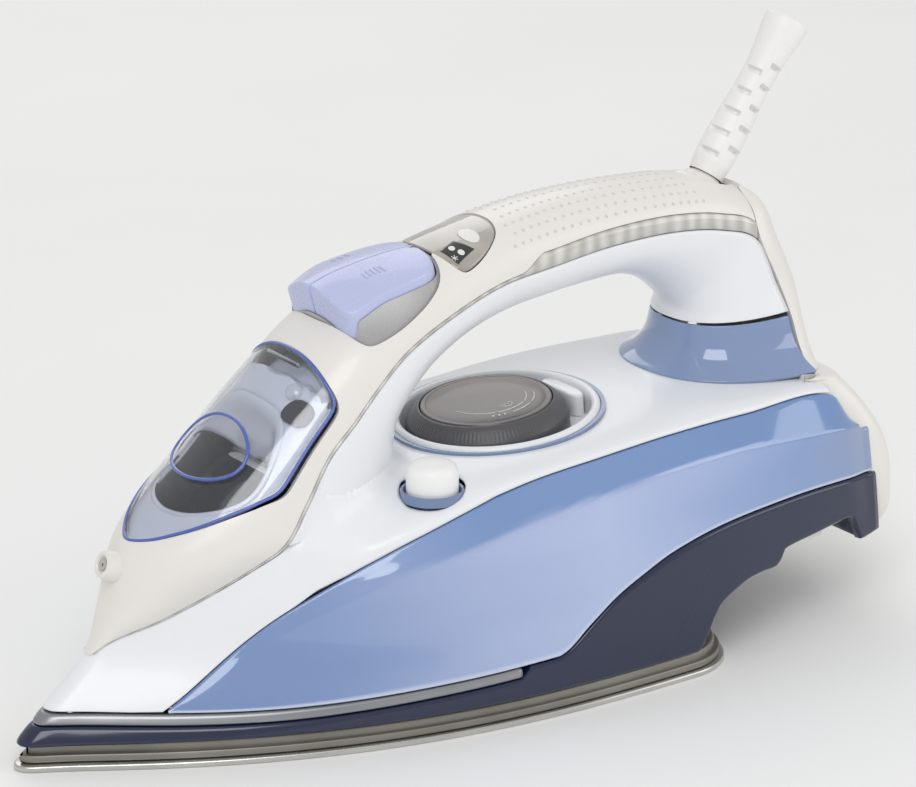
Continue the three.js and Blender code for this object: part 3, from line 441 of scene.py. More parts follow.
def band(start, end, low, high, columns, rows, radius, lip, wraps):
    """A strip of the body's skin between two side-view curves. It wraps the nose, or is one side of it."""
    count = len(rounded_rows(10, radius, lip, rows)) - 1

    def place(u, v):
        along = abs(2 * u - 1) if wraps else u
        side = -1 if not wraps or u < 0.5 else 1
        spread = mix(along, (1 - cos(along * pi)) / 2, 0.35) if not wraps else along ** 1.35
        x = mix(start, end, spread)
        for _ in range(4 if wraps else 1):  # each height of a wrapping band starts at its own nose
            rise, inset = rounded_rows(high(x) - low(x), radius, lip, rows)[round(v * count)]
            z = low(x) + rise
            x = mix(nose_x(z), end, spread) if wraps else x
        return skin_point(x, z, side, inset)

    made = draped(columns, count, place)
    if not wraps:
        copied = bmesh.ops.duplicate(made, geom=made.verts[:] + made.edges[:] + made.faces[:])["geom"]
        verts = [g for g in copied if isinstance(g, bmesh.types.BMVert)]
        bmesh.ops.scale(made, verts=verts, vec=(1, -1, 1))
        bmesh.ops.reverse_faces(made, faces=[g for g in copied if isinstance(g, bmesh.types.BMFace)])
    return made


def moulded(name, colour, roughness, variation=0.03, grain_mm=0.9, depth=0.012, **surface):
    """Injection-moulded plastic, with its faint cloudiness, spark-eroded grain and uneven gloss."""
    made, tree, shader = finish_of(name, **surface)
    grain = noise(tree, 1 / (grain_mm * MM), 3.0)
    level = remap(tree, noise(tree, 28.0), 1 - variation, 1 + variation)
    tone = node(tree, "HueSaturation", {"Color": linear(colour), "Value": level})
    bump = node(tree, "Bump", {"Height": grain, "Strength": 0.2, "Distance": depth * MM})
    wire(tree, shader, Base_Color=tone.outputs["Color"],
         Roughness=remap(tree, grain, roughness * 0.8, roughness * 1.2), Normal=bump.outputs["Normal"])
    return made


# High-gloss navy ABS: near black in the shade, and blue where the soft boxes show in it.
navy_gloss = moulded("glossy_navy_abs", "#15203f", 0.16, depth=0.004, IOR=1.5, Coat_Weight=0.4,
                     Coat_Roughness=0.04)
bm = band(NOSE + 1, SKIRT_REAR, underside, skirt_top, 420, 16, 1.1, 3, True)
skirt = piece(facing(bm, (20, 0, 25)), "skirt_shell", "root", "navy_plastic", navy_gloss, "skirt",
              wall=1.8)


def under_panel(u, v):
    x = mix(SOLE_REAR - 22, SKIRT_REAR - 0.4, u)
    z = underside(x) + 0.15
    return Vector((x, mix(-1, 1, v) * (body_half(x, z) - 1), z))


bm = facing(draped(110, 10, under_panel), (90, 0, 300))
piece(bm, "skirt_underside", "root", "navy_plastic", navy_gloss, wall=1.5)

# ---- Silver strip ----
# A thin ABS bead with a satin chrome finish, snapped into the joint between the skirt and the tank.
satin_silver = rolled_metal("satin_silver_coating", "#8b8d92", "#a7a8ab", 0.3, metallic=0.7)
bm = band(-142.2, STRIP_END - 14, lambda x: strip_top(x) - STRIP_HEIGHT, lambda x: strip_top(x) - GAP, 300,
          3, 0.9, 1.6, True)
piece(facing(bm, (-40, 0, 14)), "strip_bead", "root", "silver_strip", satin_silver, "trim_strip",
      wall=1.2)

# ---- Water tank ----
# Light blue SAN, moulded clear and glossy, one leaf-shaped wall on each side. A crease runs along its
# shoulder; above it the wall is painted a deeper blue as shade, and a bright line painted on its lower
# edge is a painted highlight for the light that travels in the wall.
TANK_NOSE, TANK_REAR = -110.5, 137
tank_blue, tree, shader = finish_of("tinted_clear_san", IOR=1.57, Coat_Weight=0.8, Coat_Roughness=0.03,
                                    Subsurface_Weight=0.12, Subsurface_Scale=0.004)
shader.inputs["Subsurface Radius"].default_value = (0.5, 0.7, 1.0)
place = node(tree, "TexCoord", {})
axes = node(tree, "SeparateXYZ", {"Vector": place.outputs["Object"]})
TANK_STOPS = [(0.0, "#6f8abb"), (0.16, "#7f97c4"), (0.36, "#a2b1d8"), (0.52, "#b0bee2"), (0.68, "#a0b2dc"),
              (0.86, "#829bca"), (1.0, "#8797b8")]
along = node(tree, "MapRange", {"Value": axes.outputs["X"], "From Min": -0.11, "From Max": 0.137})
stretched = node(tree, "Mapping", {"Vector": place.outputs["Object"], "Scale": (7.0, 7.0, 26.0),
                                   "Rotation": (0.0, 0.45, 0.0)})
haze = node(tree, "TexNoise", {"Vector": stretched.outputs["Vector"], "Scale": 1.7, "Detail": 1.5})
drift = remap(tree, haze.outputs["Fac"], -0.12, 0.12)
moved = node(tree, "Math", {0: along.outputs["Result"], 1: drift}, operation="ADD")
# Painted shade and painted highlight: tank_shade darkens the shoulder above the crease, tank_edge brightens
# the lower edge.
wall_shade = node(tree, "Attribute", {}, attribute_name="tank_shade").outputs["Fac"]
edge_light = node(tree, "Attribute", {}, attribute_name="tank_edge").outputs["Fac"]
deep = blend(tree, wall_shade, colour_ramp(tree, moved.outputs["Value"], TANK_STOPS), "#6a8cc0")
wire(tree, shader, Base_Color=blend(tree, edge_light, deep, "#d9e2f7"),
     Roughness=remap(tree, noise(tree, 35.0, 1.0), 0.06, 0.14))


def tank_low(x):
    return (strip_top(x) if x < STRIP_END else swoosh(x)) + 0.1


bm = band(TANK_NOSE, TANK_REAR, tank_low, lambda x: tank_top(x) - GAP, 300, 34, 0.7, 1.8, False)
tank = piece(facing(bm, (30, 0, 45)), "tank_wall", "root", "blue_tank", tank_blue, "water_tank", wall=1.6)


def paint(obj, name, value_at):
    """Stores a value between 0 and 1 at each vertex, for a material to read; places are in millimetres."""
    layer = obj.data.attributes.new(name, "FLOAT", "POINT")
    layer.data.foreach_set("value", [value_at(v.co / MM) for v in obj.data.vertices])


# Painted shade on the shoulder above the crease, and a painted highlight along the lower edge.
paint(tank, "tank_shade", lambda p: 0.85 * ease(p.z - crease_z(p.x), -0.6, 0.9) * ease(p.x, -75, -10))
paint(tank, "tank_edge", lambda p: 0.8 * (1 - ease(p.z - tank_low(p.x), 0.55, 1.1)))

# ---- Lower shell ----
# Cool white ABS: the nose walls, the deck that carries the dial, and the underside of the handle, which
# runs into the deck at the front post with a wide fillet.
DECK_TOP = [[-75, 47], [-60, 60], [-45, 65.5], [-30, 69], [-10, 73.3], [10, 76], [28, 77.7], [60, 79.6],
            [90, 80], [115, 79], [124, 77.5]]
HANDLE = [  # crown, trim line with its half-width, and belly, from the nose to the rear post
    [[-141, 17.2], [-139.6, 17.4, 1.2], [-140, 16.9]], [[-125.5, 31], [-123.4, 32, 2.8], [-123, 16.3]],
    [[-118.5, 45], [-104.7, 41.5, 13], [-104, 21.2]], [[-111, 61], [-83, 55, 24.5], [-83, 36.5]],
    [[-100, 72], [-73, 62, 28.5], [-24, 63]], [[-86, 84.5], [-65.5, 72, 28], [-24, 68]],
    [[-70, 98.5], [-57, 84.5, 27], [-23.5, 80]], [[-56, 110.5], [-47, 93.5, 26], [-22.5, 88]],
    [[-44, 119.5], [-38, 102, 25], [-18.5, 94]], [[-28, 126.5], [-27, 110, 23], [-10, 101.5]],
    [[-8, 135.5], [-9, 118, 21], [2, 108]], [[13, 140.5], [10, 124, 19.5], [16, 112]],
    [[32, 143.5], [30, 126.5, 18.5], [31, 114]], [[52, 144.5], [52, 129, 18], [46, 115.2]],
    [[75, 144], [77, 129.5, 18], [62, 115.5]], [[94, 142.3], [96, 127, 18], [76, 111]],
    [[109, 137.8], [109.5, 122, 18], [86, 103]], [[119, 130], [116, 107, 20.5], [88.5, 99.5]],
    [[127, 118], [119.2, 98, 23], [88, 96.2]],
]
deck_top = through(DECK_TOP)


def rail(points):
    """A centripetal Catmull-Rom curve through side-view points [x, z, half-width], from 0 to 1."""
    knots = [Vector((p[0], p[2] if len(p) > 2 else 0, p[1])) for p in points]
    last = len(knots) - 1
    ends = [2 * knots[0] - knots[1], *knots, 2 * knots[-1] - knots[-2]]

    def at(t):
        i = min(int(limit(t) * last), last - 1)
        w = limit(t) * last - i
        p0, p1, p2, p3 = ends[i:i + 4]
        d0, d1, d2 = (max(sqrt((b - a).length), 1e-4) for a, b in ((p0, p1), (p1, p2), (p2, p3)))
        m1 = ((p1 - p0) / d0 - (p2 - p0) / (d0 + d1) + (p2 - p1) / d1) * d1
        m2 = ((p2 - p1) / d1 - (p3 - p1) / (d1 + d2) + (p3 - p2) / d2) * d1
        return p1 + w * (m1 + w * (3 * (p2 - p1) - 2 * m1 - m2 + w * (2 * (p1 - p2) + m1 + m2)))

    return at


crown, trim_line, belly = (rail([station[k] for station in HANDLE]) for k in range(3))


def station(index):
    return index / (len(HANDLE) - 1)


def arch(seam, edge, angle, power):
    """A point of a rounded section that springs from a seam at both sides and tops out at an edge point."""
    reach = Vector((edge.x - seam.x, 0, edge.z - seam.z))
    length = reach.length
    reach.normalize()
    rise = max(sin(angle), 0) ** (2 / power) * length
    side = abs(cos(angle)) ** (2 / power) * (-1 if cos(angle) > 0 else 1)
    return Vector((seam.x, side * seam.y, seam.z)) + reach * rise


TRIM_TABLE = [trim_line(station(i / 20)) for i in range(20, 140)]
trim_z = through([[p.x, p.z] for p in TRIM_TABLE])
trim_half = through([[p.x, p.y] for p in TRIM_TABLE])
RIDGE_LOW, RIDGE_HIGH, NOSE_PATCH = (-140, 17.2), (-123.4, 32), -96
FILLET = 11
BELLY_POWER, CROWN_POWER = 2.4, 2.3
POST_OUTLINE = [arch(trim_line(station(5)), belly(station(5)), pi * i / 60, BELLY_POWER)
                for i in range(61)]


def base_z(x):
    return max(tank_top(x), strip_top(x)) + 0.15


def nearest_on(outline, x, y):
    """The nearest point of a closed outline, and the distance to it, negative inside."""
    p, best, inside = Vector((x, y)), None, False
    for a, b in zip(outline, outline[1:] + outline[:1]):
        a, b = Vector(a[:2]), Vector(b[:2])
        t = limit((p - a).dot(b - a) / max((b - a).length_squared, 1e-9))
        found = a + (b - a) * t
        if best is None or (found - p).length < (best - p).length:
            best = found
        if (a.y > y) != (b.y > y) and x < a.x + (b.x - a.x) * (y - a.y) / (b.y - a.y):
            inside = not inside
    return best, (best - p).length * (-1 if inside else 1)


def nose_wall(x, t):
    """Side-view height and half-width of the nose wall at a share of its height."""
    z = mix(base_z(x), trim_z(x), t)
    fit = t * t * (trim_half(x) - body_half(x, trim_z(x))) * ease(x, RIDGE_HIGH[0], -110)
    return z, body_half(x, z) + fit


def nose_patch(f, t):
    """A point of the patch between the nose ridge, the trim line and the strip."""
    bottom_x, top_x = mix(RIDGE_LOW[0], NOSE_PATCH, f), mix(RIDGE_HIGH[0], NOSE_PATCH, f)
    left_z = mix(RIDGE_LOW[1], RIDGE_HIGH[1], t)
    right_z = mix(base_z(NOSE_PATCH), trim_z(NOSE_PATCH), t)
    sides = [Vector((bottom_x, base_z(bottom_x))), Vector((top_x, trim_z(top_x))),
             Vector((nose_x(left_z), left_z)), Vector((NOSE_PATCH, right_z))]
    corners = [Vector((RIDGE_LOW[0], base_z(RIDGE_LOW[0]))), Vector((NOSE_PATCH, base_z(NOSE_PATCH))),
               Vector(RIDGE_HIGH), Vector((NOSE_PATCH, trim_z(NOSE_PATCH)))]
    flat = mix(corners[0], corners[1], f) * (1 - t) + mix(corners[2], corners[3], f) * t
    p = mix(sides[0], sides[1], t) + mix(sides[2], sides[3], f) - flat
    fit = t * t * (trim_half(p.x) - body_half(p.x, trim_z(p.x))) * ease(p.x, RIDGE_HIGH[0], -110)
    return p, body_half(p.x, p.y) + fit


PATCH_SHARE, PLATEAU = 0.2, 0.1
WALL_END, WALL_TO_DECK = -58, (-78, -46)
DECK_REAR = 123.5


def shell_point(u, v):
    side, q = (-1 if v < 0.5 else 1), abs(2 * v - 1)
    t = limit((1 - q) / (1 - PLATEAU))
    inner = min(q / PLATEAU, 1)
    if u < PATCH_SHARE:
        p, half = nose_patch(u / PATCH_SHARE, t)
        return Vector((p.x, side * half * inner * min(u / 0.002, 1), p.y))
    x = mix(NOSE_PATCH, DECK_REAR, (u - PATCH_SHARE) / (1 - PATCH_SHARE))
    z, half = nose_wall(min(x, WALL_END), t)
    if x > WALL_END:
        z = mix(base_z(x), trim_z(WALL_END), t)
    wall_point = Vector((x, side * half * inner, z))
    angle = pi / 2 * (1 - q)
    seam = body_half(x, tank_top(x))
    y = side * seam * cos(angle) ** (2 / 3)
    rise = (deck_top(x) - base_z(x)) * sin(angle) ** (2 / 3)
    deck = Vector((x, y, base_z(x) + rise))
    point = mix(wall_point, deck, ease(x, *WALL_TO_DECK))
    if -80 < x < 0:
        near = limit(nearest_on(POST_OUTLINE, point.x, point.y)[1], 0, FILLET)
        point.z += (FILLET - sqrt(FILLET ** 2 - (FILLET - near) ** 2)) * ease(x, -78, -60)
    return point


DIAL_X, DIAL_TILT = 18, -atan2(deck_top(52) - deck_top(-16), 68)
dial_frame = Matrix.Translation((DIAL_X, 0, deck_top(DIAL_X))) @ Matrix.Rotation(DIAL_TILT, 4, "Y")
PUSH_PLACE = Vector((-24, -31, 69.5))
WELL_SHIFT, WELL_INNER, WELL_RIM = 3.2, 29.8, 4.2
PUSH_CUP = 9.9


def cut_hole(made, frame, outline):
    """Opens a sheet inside an outline drawn in a frame's own plane, and draws the sheet's edge up to it."""
    to_plane = frame.inverted()
    surface = BVHTree.FromBMesh(made)
    normal = frame.to_3x3() @ Vector((0, 0, 1))
    reach = max(hypot(p[0], p[1]) for p in outline) + 3
    inside = []
    for face in made.faces:
        p = to_plane @ (face.calc_center_median() / MM)
        if abs(p.z) < 25 and hypot(p.x, p.y) < reach and nearest_on(outline, p.x, p.y)[1] < 0:
            inside.append(face)
    gone = set(inside)
    rim = [v for v in {v for f in inside for v in f.verts} if any(f not in gone for f in v.link_faces)]
    bmesh.ops.delete(made, geom=inside, context="FACES")
    for vert in rim:
        p = to_plane @ (vert.co / MM)
        x, y = nearest_on(outline, p.x, p.y)[0]
        start = (frame @ Vector((x, y, p.z))) * MM + normal * 0.03
        hit = surface.ray_cast(start, -normal, 0.08)[0]
        vert.co = hit if hit else (frame @ Vector((x, y, p.z))) * MM
    return made


def oval(x, y, along, across, count=48):
    """An oval outline about a middle, with its half-sizes along and across."""
    turns = [2 * pi * i / count for i in range(count)]
    return [(x + along * cos(turn), y + across * sin(turn)) for turn in turns]


def circle(radius, centre_x=0):
    return oval(centre_x, 0, radius, radius, 96)


# Cool white ABS with a fine satin grain that keeps the reflections soft.
cool_white = moulded("satin_cool_white_abs", "#eceef1", 0.3, variation=0.012, depth=0.01, IOR=1.5,
                     Coat_Weight=0.15)
bm = facing(draped(330, 130, shell_point), (20, 0, -200))
bm = cut_hole(bm, dial_frame, circle(WELL_INNER + WELL_RIM - 1, WELL_SHIFT))
bm = cut_hole(bm, Matrix.Translation(PUSH_PLACE), circle(PUSH_CUP))
piece(bm, "deck_and_nose_walls", "root", "cool_white_plastic", cool_white, "lower_shell", crease=60,
      wall=0.7)


def handle_underside(u, v):
    t = mix(station(4), 1, u)
    return arch(trim_line(t), belly(t), pi * v, BELLY_POWER)


bm = facing(draped(260, 72, handle_underside), (-45, 0, 110))
piece(bm, "handle_underside", "root", "cool_white_plastic", cool_white, crease=60, wall=1.6)

# ---- Upper shell ----
# Warm white ABS over the nose and the top of the handle, with a lip around the filler, the buttons, the
# indicator window and the cord outlet, and a swelling around the spray nozzle.
TRIM_THIN, TRIM_WIDE, SHELL_WALL = 1.3, 5.5, 2
SWELLING, SWELLING_REACH = 2.3, 7.5
UPPER_START, UPPER_END = station(1), station(16)


def trim_rise(t):
    return mix(TRIM_THIN, TRIM_WIDE, ease(t, station(11.35), station(11.8)))


def slope_frame(low, high, share):
    """A frame on the ridge between two points, X up the slope and Z out of it."""
    along = high - low
    return Matrix.Translation(low + along * share) @ Matrix.Rotation(-atan2(along.z, along.x), 4, "Y")


lid_frame = slope_frame(crown(station(3)), crown(station(7)), 0)
window_frame = slope_frame(crown(station(10)), crown(station(11)), 0.5)
nozzle_frame = slope_frame(crown(station(2)), crown(station(3)), 0.86)
button_frame = Matrix.Translation((-25, 0, 130.8)) @ Matrix.Rotation(-0.27, 4, "Y")
swivel_frame = Matrix.Translation((99.5, 0, 136)) @ Matrix.Rotation(0.613, 4, "Y")
LID_SIDE = [(1.6, 0), (3.4, 4.8), (7.5, 10.6), (16.2, 18.1), (27, 23.4), (36, 25.9), (39, 26.3),
            (42, 26.3), (56, 25.5), (67, 24.7), (69.6, 23.9), (71.4, 21.9), (74.3, 15.5), (75.9, 8),
            (76.3, 0)]
BUTTON_SIDE = [(-22.6, 0), (-21.9, 8), (-20.6, 16.4), (-19, 20), (-16.4, 21.3), (-9, 21.3), (0, 20.5),
               (7, 19.3), (12, 17.6), (14.9, 14.8), (16.7, 10), (17.3, 4), (17.3, 0)]
WINDOW_SIDE = [(-11.2, 0), (-10.8, 8), (-9.4, 14.5), (-8, 17.2), (-6, 17.9), (0, 16.9), (6, 14.6),
               (10.6, 11.4), (12.9, 6.5), (13.4, 0)]


def both_sides(side, grow=0.0):
    """A closed outline from its near half, drawn as (along, half-width), grown outwards by a margin."""
    points = [(x, -y) for x, y in side] + [(x, y) for x, y in reversed(side[1:-1])]
    centre = Vector(((side[0][0] + side[-1][0]) / 2, 0))
    grown = []
    for i, p in enumerate(points):
        ahead, behind = Vector(points[(i + 1) % len(points)]), Vector(points[i - 1])
        normal = Vector(((ahead - behind).y, -(ahead - behind).x)).normalized()
        if normal.dot(Vector(p) - centre) < 0:
            normal.negate()
        grown.append(tuple(Vector(p) + normal * grow))
    return grown


def round_off(points, times=2):
    """Cuts an outline's corners until it reads as a curve."""
    for _ in range(times):
        cut = []
        for a, b in zip(points, points[1:] + points[:1]):
            a, b = Vector(a), Vector(b)
            cut += [tuple(a * 0.75 + b * 0.25), tuple(a * 0.25 + b * 0.75)]
        points = cut
    return points


def outer_shell(t, angle):
    """A point of the upper shell's outside, with the nozzle's swelling."""
    p = arch(trim_line(t), crown(t), angle, CROWN_POWER)
    near = (p - nozzle_frame.translation).length
    swelling = SWELLING * exp(-(near / SWELLING_REACH) ** 2)
    return p + nozzle_frame.to_3x3() @ Vector((-0.3, 0, 1)) * swelling


def shell_angle(t, v, rise):
    length = (crown(t) - Vector((trim_line(t).x, 0, trim_line(t).z))).length
    first = asin(limit(rise / length, 0, 0.95) ** (CROWN_POWER / 2))
    return mix(first, pi - first, v)


def upper_point(u, v):
    t = mix(UPPER_START, UPPER_END, u)
    return outer_shell(t, shell_angle(t, v, trim_rise(t) + GAP))


warm_white = moulded("satin_warm_white_abs", "#e9e6e1", 0.33, variation=0.012, depth=0.012, IOR=1.5,
                     Coat_Weight=0.12)
lid_outline = round_off(both_sides(LID_SIDE))
button_outline = round_off(both_sides(BUTTON_SIDE))
window_outline = round_off(both_sides(WINDOW_SIDE))
bm = facing(draped(300, 100, upper_point), (-30, 0, 60))
whole_upper = bm.copy()
cut_hole(bm, lid_frame, round_off(both_sides(LID_SIDE, 0.5)))
cut_hole(bm, button_frame, button_outline)
cut_hole(bm, window_frame, window_outline)
cut_hole(bm, swivel_frame, circle(8.6))
piece(bm, "upper_shell_cover", "root", "warm_white_plastic", warm_white, "upper_shell", crease=50,
      wall=SHELL_WALL, edge=0.25)

# ---- Grip dots ----
# Rows of small raised dots moulded into the top of the handle, which keep a damp hand from slipping.
DOT_RADIUS, DOT_HEIGHT = 0.62, 0.3
WINDOW_CLEARANCE, SWIVEL_CLEARANCE = 2.5, 17
dots = bmesh.new()
DOT_ROWS, DOTS_IN_ROW = 9, 26
for row in range(DOT_ROWS):
    across = mix(-0.98, 0.98, row / (DOT_ROWS - 1))
    for i in range(DOTS_IN_ROW):
        t = station(mix(11.25, 15.35, (i + 0.5 * (row % 2)) / DOTS_IN_ROW))
        centre = outer_shell(t, pi / 2 + across)
        to_swivel = (centre - swivel_frame.translation).length
        to_window = nearest_on(window_outline, *(window_frame.inverted() @ centre)[:2])[1]
        if to_window < WINDOW_CLEARANCE or to_swivel < SWIVEL_CLEARANCE:
            continue
        ahead, beside = outer_shell(t + 0.003, pi / 2 + across), outer_shell(t, pi / 2 + across + 0.03)
        out = (ahead - centre).cross(beside - centre).normalized()
        out = out if out.z > 0 else -out
        turn = out.to_track_quat("Z", "Y").to_matrix().to_4x4()
        size = Matrix.Diagonal((DOT_RADIUS * MM, DOT_RADIUS * MM, DOT_HEIGHT * MM, 1))
        bmesh.ops.create_icosphere(dots, subdivisions=1, radius=1,
                                   matrix=Matrix.Translation(centre * MM) @ turn @ size)
grip_white = moulded("grip_dot_abs", "#dcd9d3", 0.45, variation=0.02)
piece(dots, "grip_dots", "root", "warm_white_plastic", grip_white, crease=80)

# ---- Smoked trims ----
# Clear smoke-grey acrylic strips set in the seam between the two shells, thin along the nose and wide
# along the rear of the handle. Fine upright ribs show through them.
trim_clear, tree, shader = finish_of("smoked_clear_acrylic", IOR=1.49, Coat_Weight=1.0,
                                     Coat_Roughness=0.02)
place = node(tree, "TexCoord", {})
rib = node(tree, "TexWave", {"Vector": place.outputs["Object"], "Scale": 55.0, "Distortion": 2.5,
                             "Detail": 1.0}, bands_direction="X")
cloud = noise(tree, 140.0, 3.0)
both = node(tree, "Math", {0: rib.outputs["Fac"], 1: cloud}, operation="MULTIPLY")
wire(tree, shader, Base_Color=blend(tree, both.outputs["Value"], "#b9b6af", "#efeeeb"),
     Roughness=remap(tree, cloud, 0.05, 0.18))
TRIM_DEPTH, TRIM_PROUD = 2, 0.12


def swept(name, columns, ring, body, slot, material, *replaced, crease=38):
    """A closed bar: ring(u) gives its section's points, and both ends are filled."""
    count = len(ring(0))
    made = draped(columns, count, lambda u, v: ring(u)[round(v * count) % count])
    ends = [e for e in made.edges if e.is_boundary]
    bmesh.ops.holes_fill(made, edges=ends, sides=0)
    bmesh.ops.recalc_face_normals(made, faces=made.faces)
    return piece(made, name, body, slot, material, *replaced, crease=crease)


def trim_ring(side):
    def ring(u):
        t = mix(UPPER_START, UPPER_END, u)
        seam, edge, rise = trim_line(t), crown(t), trim_rise(t)
        reach = Vector((edge.x - seam.x, 0, edge.z - seam.z)).normalized()
        deep = min(TRIM_DEPTH, seam.y * 0.5)
        section = [(0.35, deep), (0.35, 0.2), (0.55, -TRIM_PROUD),
                   (mix(0.55, rise, 0.5), -TRIM_PROUD - 0.05), (rise - 0.2, -TRIM_PROUD + 0.1),
                   (rise, 0.3), (rise, deep)]
        return [Vector((seam.x, side * (seam.y - inset), seam.z)) + reach * up for up, inset in section]
    return ring


for side, name in ((-1, "left"), (1, "right")):
    swept(f"seam_trim_{name}", 260, trim_ring(side), "root", "clear_trim", trim_clear, f"trim_{name}",
          crease=60)

# ---- Rear post ----
# A light blue glossy collar between the deck and the handle, the ribbed spine that closes the handle's
# rear, and the heel cover on which the iron stands up. All three are ABS, clipped into the shells.
SPINE = [[[110.4, 136.6, 7], [112.5, 137.2]], [[110.6, 131, 14], [119, 132]],
         [[111, 122.5, 18], [124.5, 119.5]], [[117.2, 107, 20.5], [130.5, 104]],
         [[120.6, 96, 23], [131, 95]], [[122, 86, 26], [132, 86]], [[123.8, 78.6, 29], [134, 78.4]]]
HEEL = [[[125.4, 77, 35], [134.6, 77.6]], [[132.5, 67, 40], [142, 68.5]], [[136.8, 58, 43], [148.5, 58]],
        [[138.4, 50, 44.5], [151, 50]], [[139.4, 41, 45], [151.5, 41]], [[140.4, 33, 44.5], [151, 32]],
        [[141.2, 28.5, 43], [147.5, 27.5]]]
COLLAR = [[[123, 80.2, 33.5], [78.5, 80.4]], [[121.6, 83.5, 29], [82.8, 83.5]],
          [[120.6, 88, 25.5], [86, 88]], [[119, 96.6, 23.2], [88, 95.5]]]
RIB_PITCH, RIB_DEPTH, RIB_LOW, RIB_HIGH = 2.6, 0.55, 99, 126


def arch_sheet(stations, power, columns, rows, shape=None):
    """A sheet between a seam rail and an edge rail, given as pairs of stations."""
    seam, edge = (rail([pair[k] for pair in stations]) for k in (0, 1))

    def place(u, v):
        p = arch(seam(u), edge(u), pi * v, power)
        return shape(p, v) if shape else p

    return draped(columns, rows, place)


def ribbed(p, v):
    """Fine horizontal ribs on the rear face, between the cord outlet and the post's foot."""
    if RIB_LOW < p.z < RIB_HIGH and 0.2 < v < 0.8:
        upright = ease(p.z, RIB_LOW, RIB_LOW + 2) * (1 - ease(p.z, RIB_HIGH - 2, RIB_HIGH))
        fade = upright * ease(v, 0.2, 0.3) * (1 - ease(v, 0.7, 0.8))
        p.x -= RIB_DEPTH * fade * (0.5 + 0.5 * cos(p.z / RIB_PITCH * 2 * pi))
    return p


collar_blue = moulded("glossy_collar_abs", "#8296bd", 0.08, variation=0.05, depth=0.002, IOR=1.55,
                      Coat_Weight=0.8, Coat_Roughness=0.03)
bm = facing(arch_sheet(COLLAR, 2.4, 40, 90), (105, 0, 88))
piece(bm, "collar_sleeve", "root", "blue_collar", collar_blue, "rear_collar", wall=1.6, edge=0.4)
bm = facing(arch_sheet(SPINE, 2.6, 200, 60, ribbed), (90, 0, 105))
piece(bm, "spine_cover", "root", "warm_white_plastic", warm_white, "rear_spine", wall=1.8, edge=0.3)
heel_seam, heel_edge = (rail([pair[k] for pair in HEEL]) for k in (0, 1))
TUCK = 0.07


def heel_point(u, v):
    """The heel cover, with its top and side edges tucked forward under the deck and the tank."""
    top, side = limit((TUCK - u) / TUCK), limit((TUCK - min(v, 1 - v)) / TUCK)
    t, turn = limit((u - TUCK) / (1 - TUCK)), limit((v - TUCK) / (1 - 2 * TUCK))
    p = arch(heel_seam(t), heel_edge(t), pi * turn, 4)
    return Vector((min(p.x, 150) - 9 * max(top, side), p.y * (1 - 0.03 * side), p.z + 1.2 * top))


bm = facing(draped(86, 104, heel_point), (100, 0, 50))
piece(bm, "heel_shell", "root", "warm_white_plastic", warm_white, "heel_cover", wall=2, edge=0.5)
bm = bmesh.new()
CLEAT = ((103, -43.5, 28), (119, 43.5, 31.4))
bmesh.ops.create_cube(bm, size=MM)
for vert in bm.verts:
    corner = [CLEAT[1][k] if vert.co[k] > 0 else CLEAT[0][k] for k in range(3)]
    vert.co = Vector(corner) * MM
bmesh.ops.bevel(bm, geom=bm.edges[:], offset=1.2 * MM, segments=4, affect="EDGES", profile=0.5,
                material=-1)
piece(bm, "cord_wrap_bar", "root", "warm_white_plastic", warm_white, "cord_cleat")

# ---- Filler lid ----
# A clear SAN cover over the water inlet, following the nose. Its rim and a raised finger ring are
# blue, and it swings up on a steel pin at its upper end.
shell_surface = BVHTree.FromBMesh(whole_upper)


def on_shell(frame, x, y, lift=0.0):
    """The shell's outside point seen along a frame's Z, raised by a lift."""
    out = frame.to_3x3() @ Vector((0, 0, 1))
    start = (frame @ Vector((x, y, 40))) * MM
    hit, normal = shell_surface.ray_cast(start, -out, 0.1)[:2]
    if not hit:
        return frame @ Vector((x, y, lift))
    normal = normal if normal.dot(out) > 0 else -normal
    return hit / MM + normal * lift


def laid(frame, outline, lift, rings=16, share=1.0):
    """A sheet laid on the shell inside an outline, in rings about the outline's middle."""
    middle = Vector((sum(p[0] for p in outline), sum(p[1] for p in outline))) / len(outline)
    count = len(outline)

    def place(u, v):
        edge = Vector(outline[round(u * count) % count])
        x, y = middle + (edge - middle) * share * v
        return on_shell(frame, x, y, lift)

    return draped(count, rings, place)


def tube(points, radius, closed=True, sides=10):
    """A round bar along points."""
    count = len(points) if closed else len(points) - 1

    def place(u, v):
        i = round(u * count)
        here = points[i % len(points)]
        ahead = points[(i + 1) % len(points)] if closed or i < count else here
        behind = points[i - 1] if closed or i > 0 else here
        along = (ahead - behind).normalized()
        side = along.cross(Vector((0.3, 0.1, 0.95))).normalized()
        up = side.cross(along)
        return here + side * radius * cos(2 * pi * v) + up * radius * sin(2 * pi * v)

    made = draped(count, sides, place)
    if not closed:
        bmesh.ops.holes_fill(made, edges=[e for e in made.edges if e.is_boundary], sides=0)
    bmesh.ops.recalc_face_normals(made, faces=made.faces)
    return made


def lathe(profile, steps=64):
    """A body turned about Z from (radius, height) points."""
    last = len(profile) - 1

    def place(u, v):
        radius, height = profile[round(v * last)]
        return Vector((radius * cos(2 * pi * u), radius * sin(2 * pi * u), height))

    made = draped(steps, last, place)
    bmesh.ops.recalc_face_normals(made, faces=made.faces)
    return made


def set_in(made, frame):
    """Moves a body drawn about the origin into a frame given in millimetres."""
    place = frame.copy()
    place.translation *= MM
    bmesh.ops.transform(made, matrix=place, verts=made.verts)
    return made


def even(outline, count):
    """Spaces points evenly along a closed outline."""
    points = [Vector(p) for p in outline] + [Vector(outline[0])]
    lengths = [0]
    for a, b in zip(points, points[1:]):
        lengths.append(lengths[-1] + (b - a).length)
    spaced, k = [], 0
    for i in range(count):
        want = lengths[-1] * i / count
        while lengths[k + 1] < want:
            k += 1
        share = (want - lengths[k]) / (lengths[k + 1] - lengths[k])
        spaced.append(tuple(points[k].lerp(points[k + 1], share)))
    return spaced


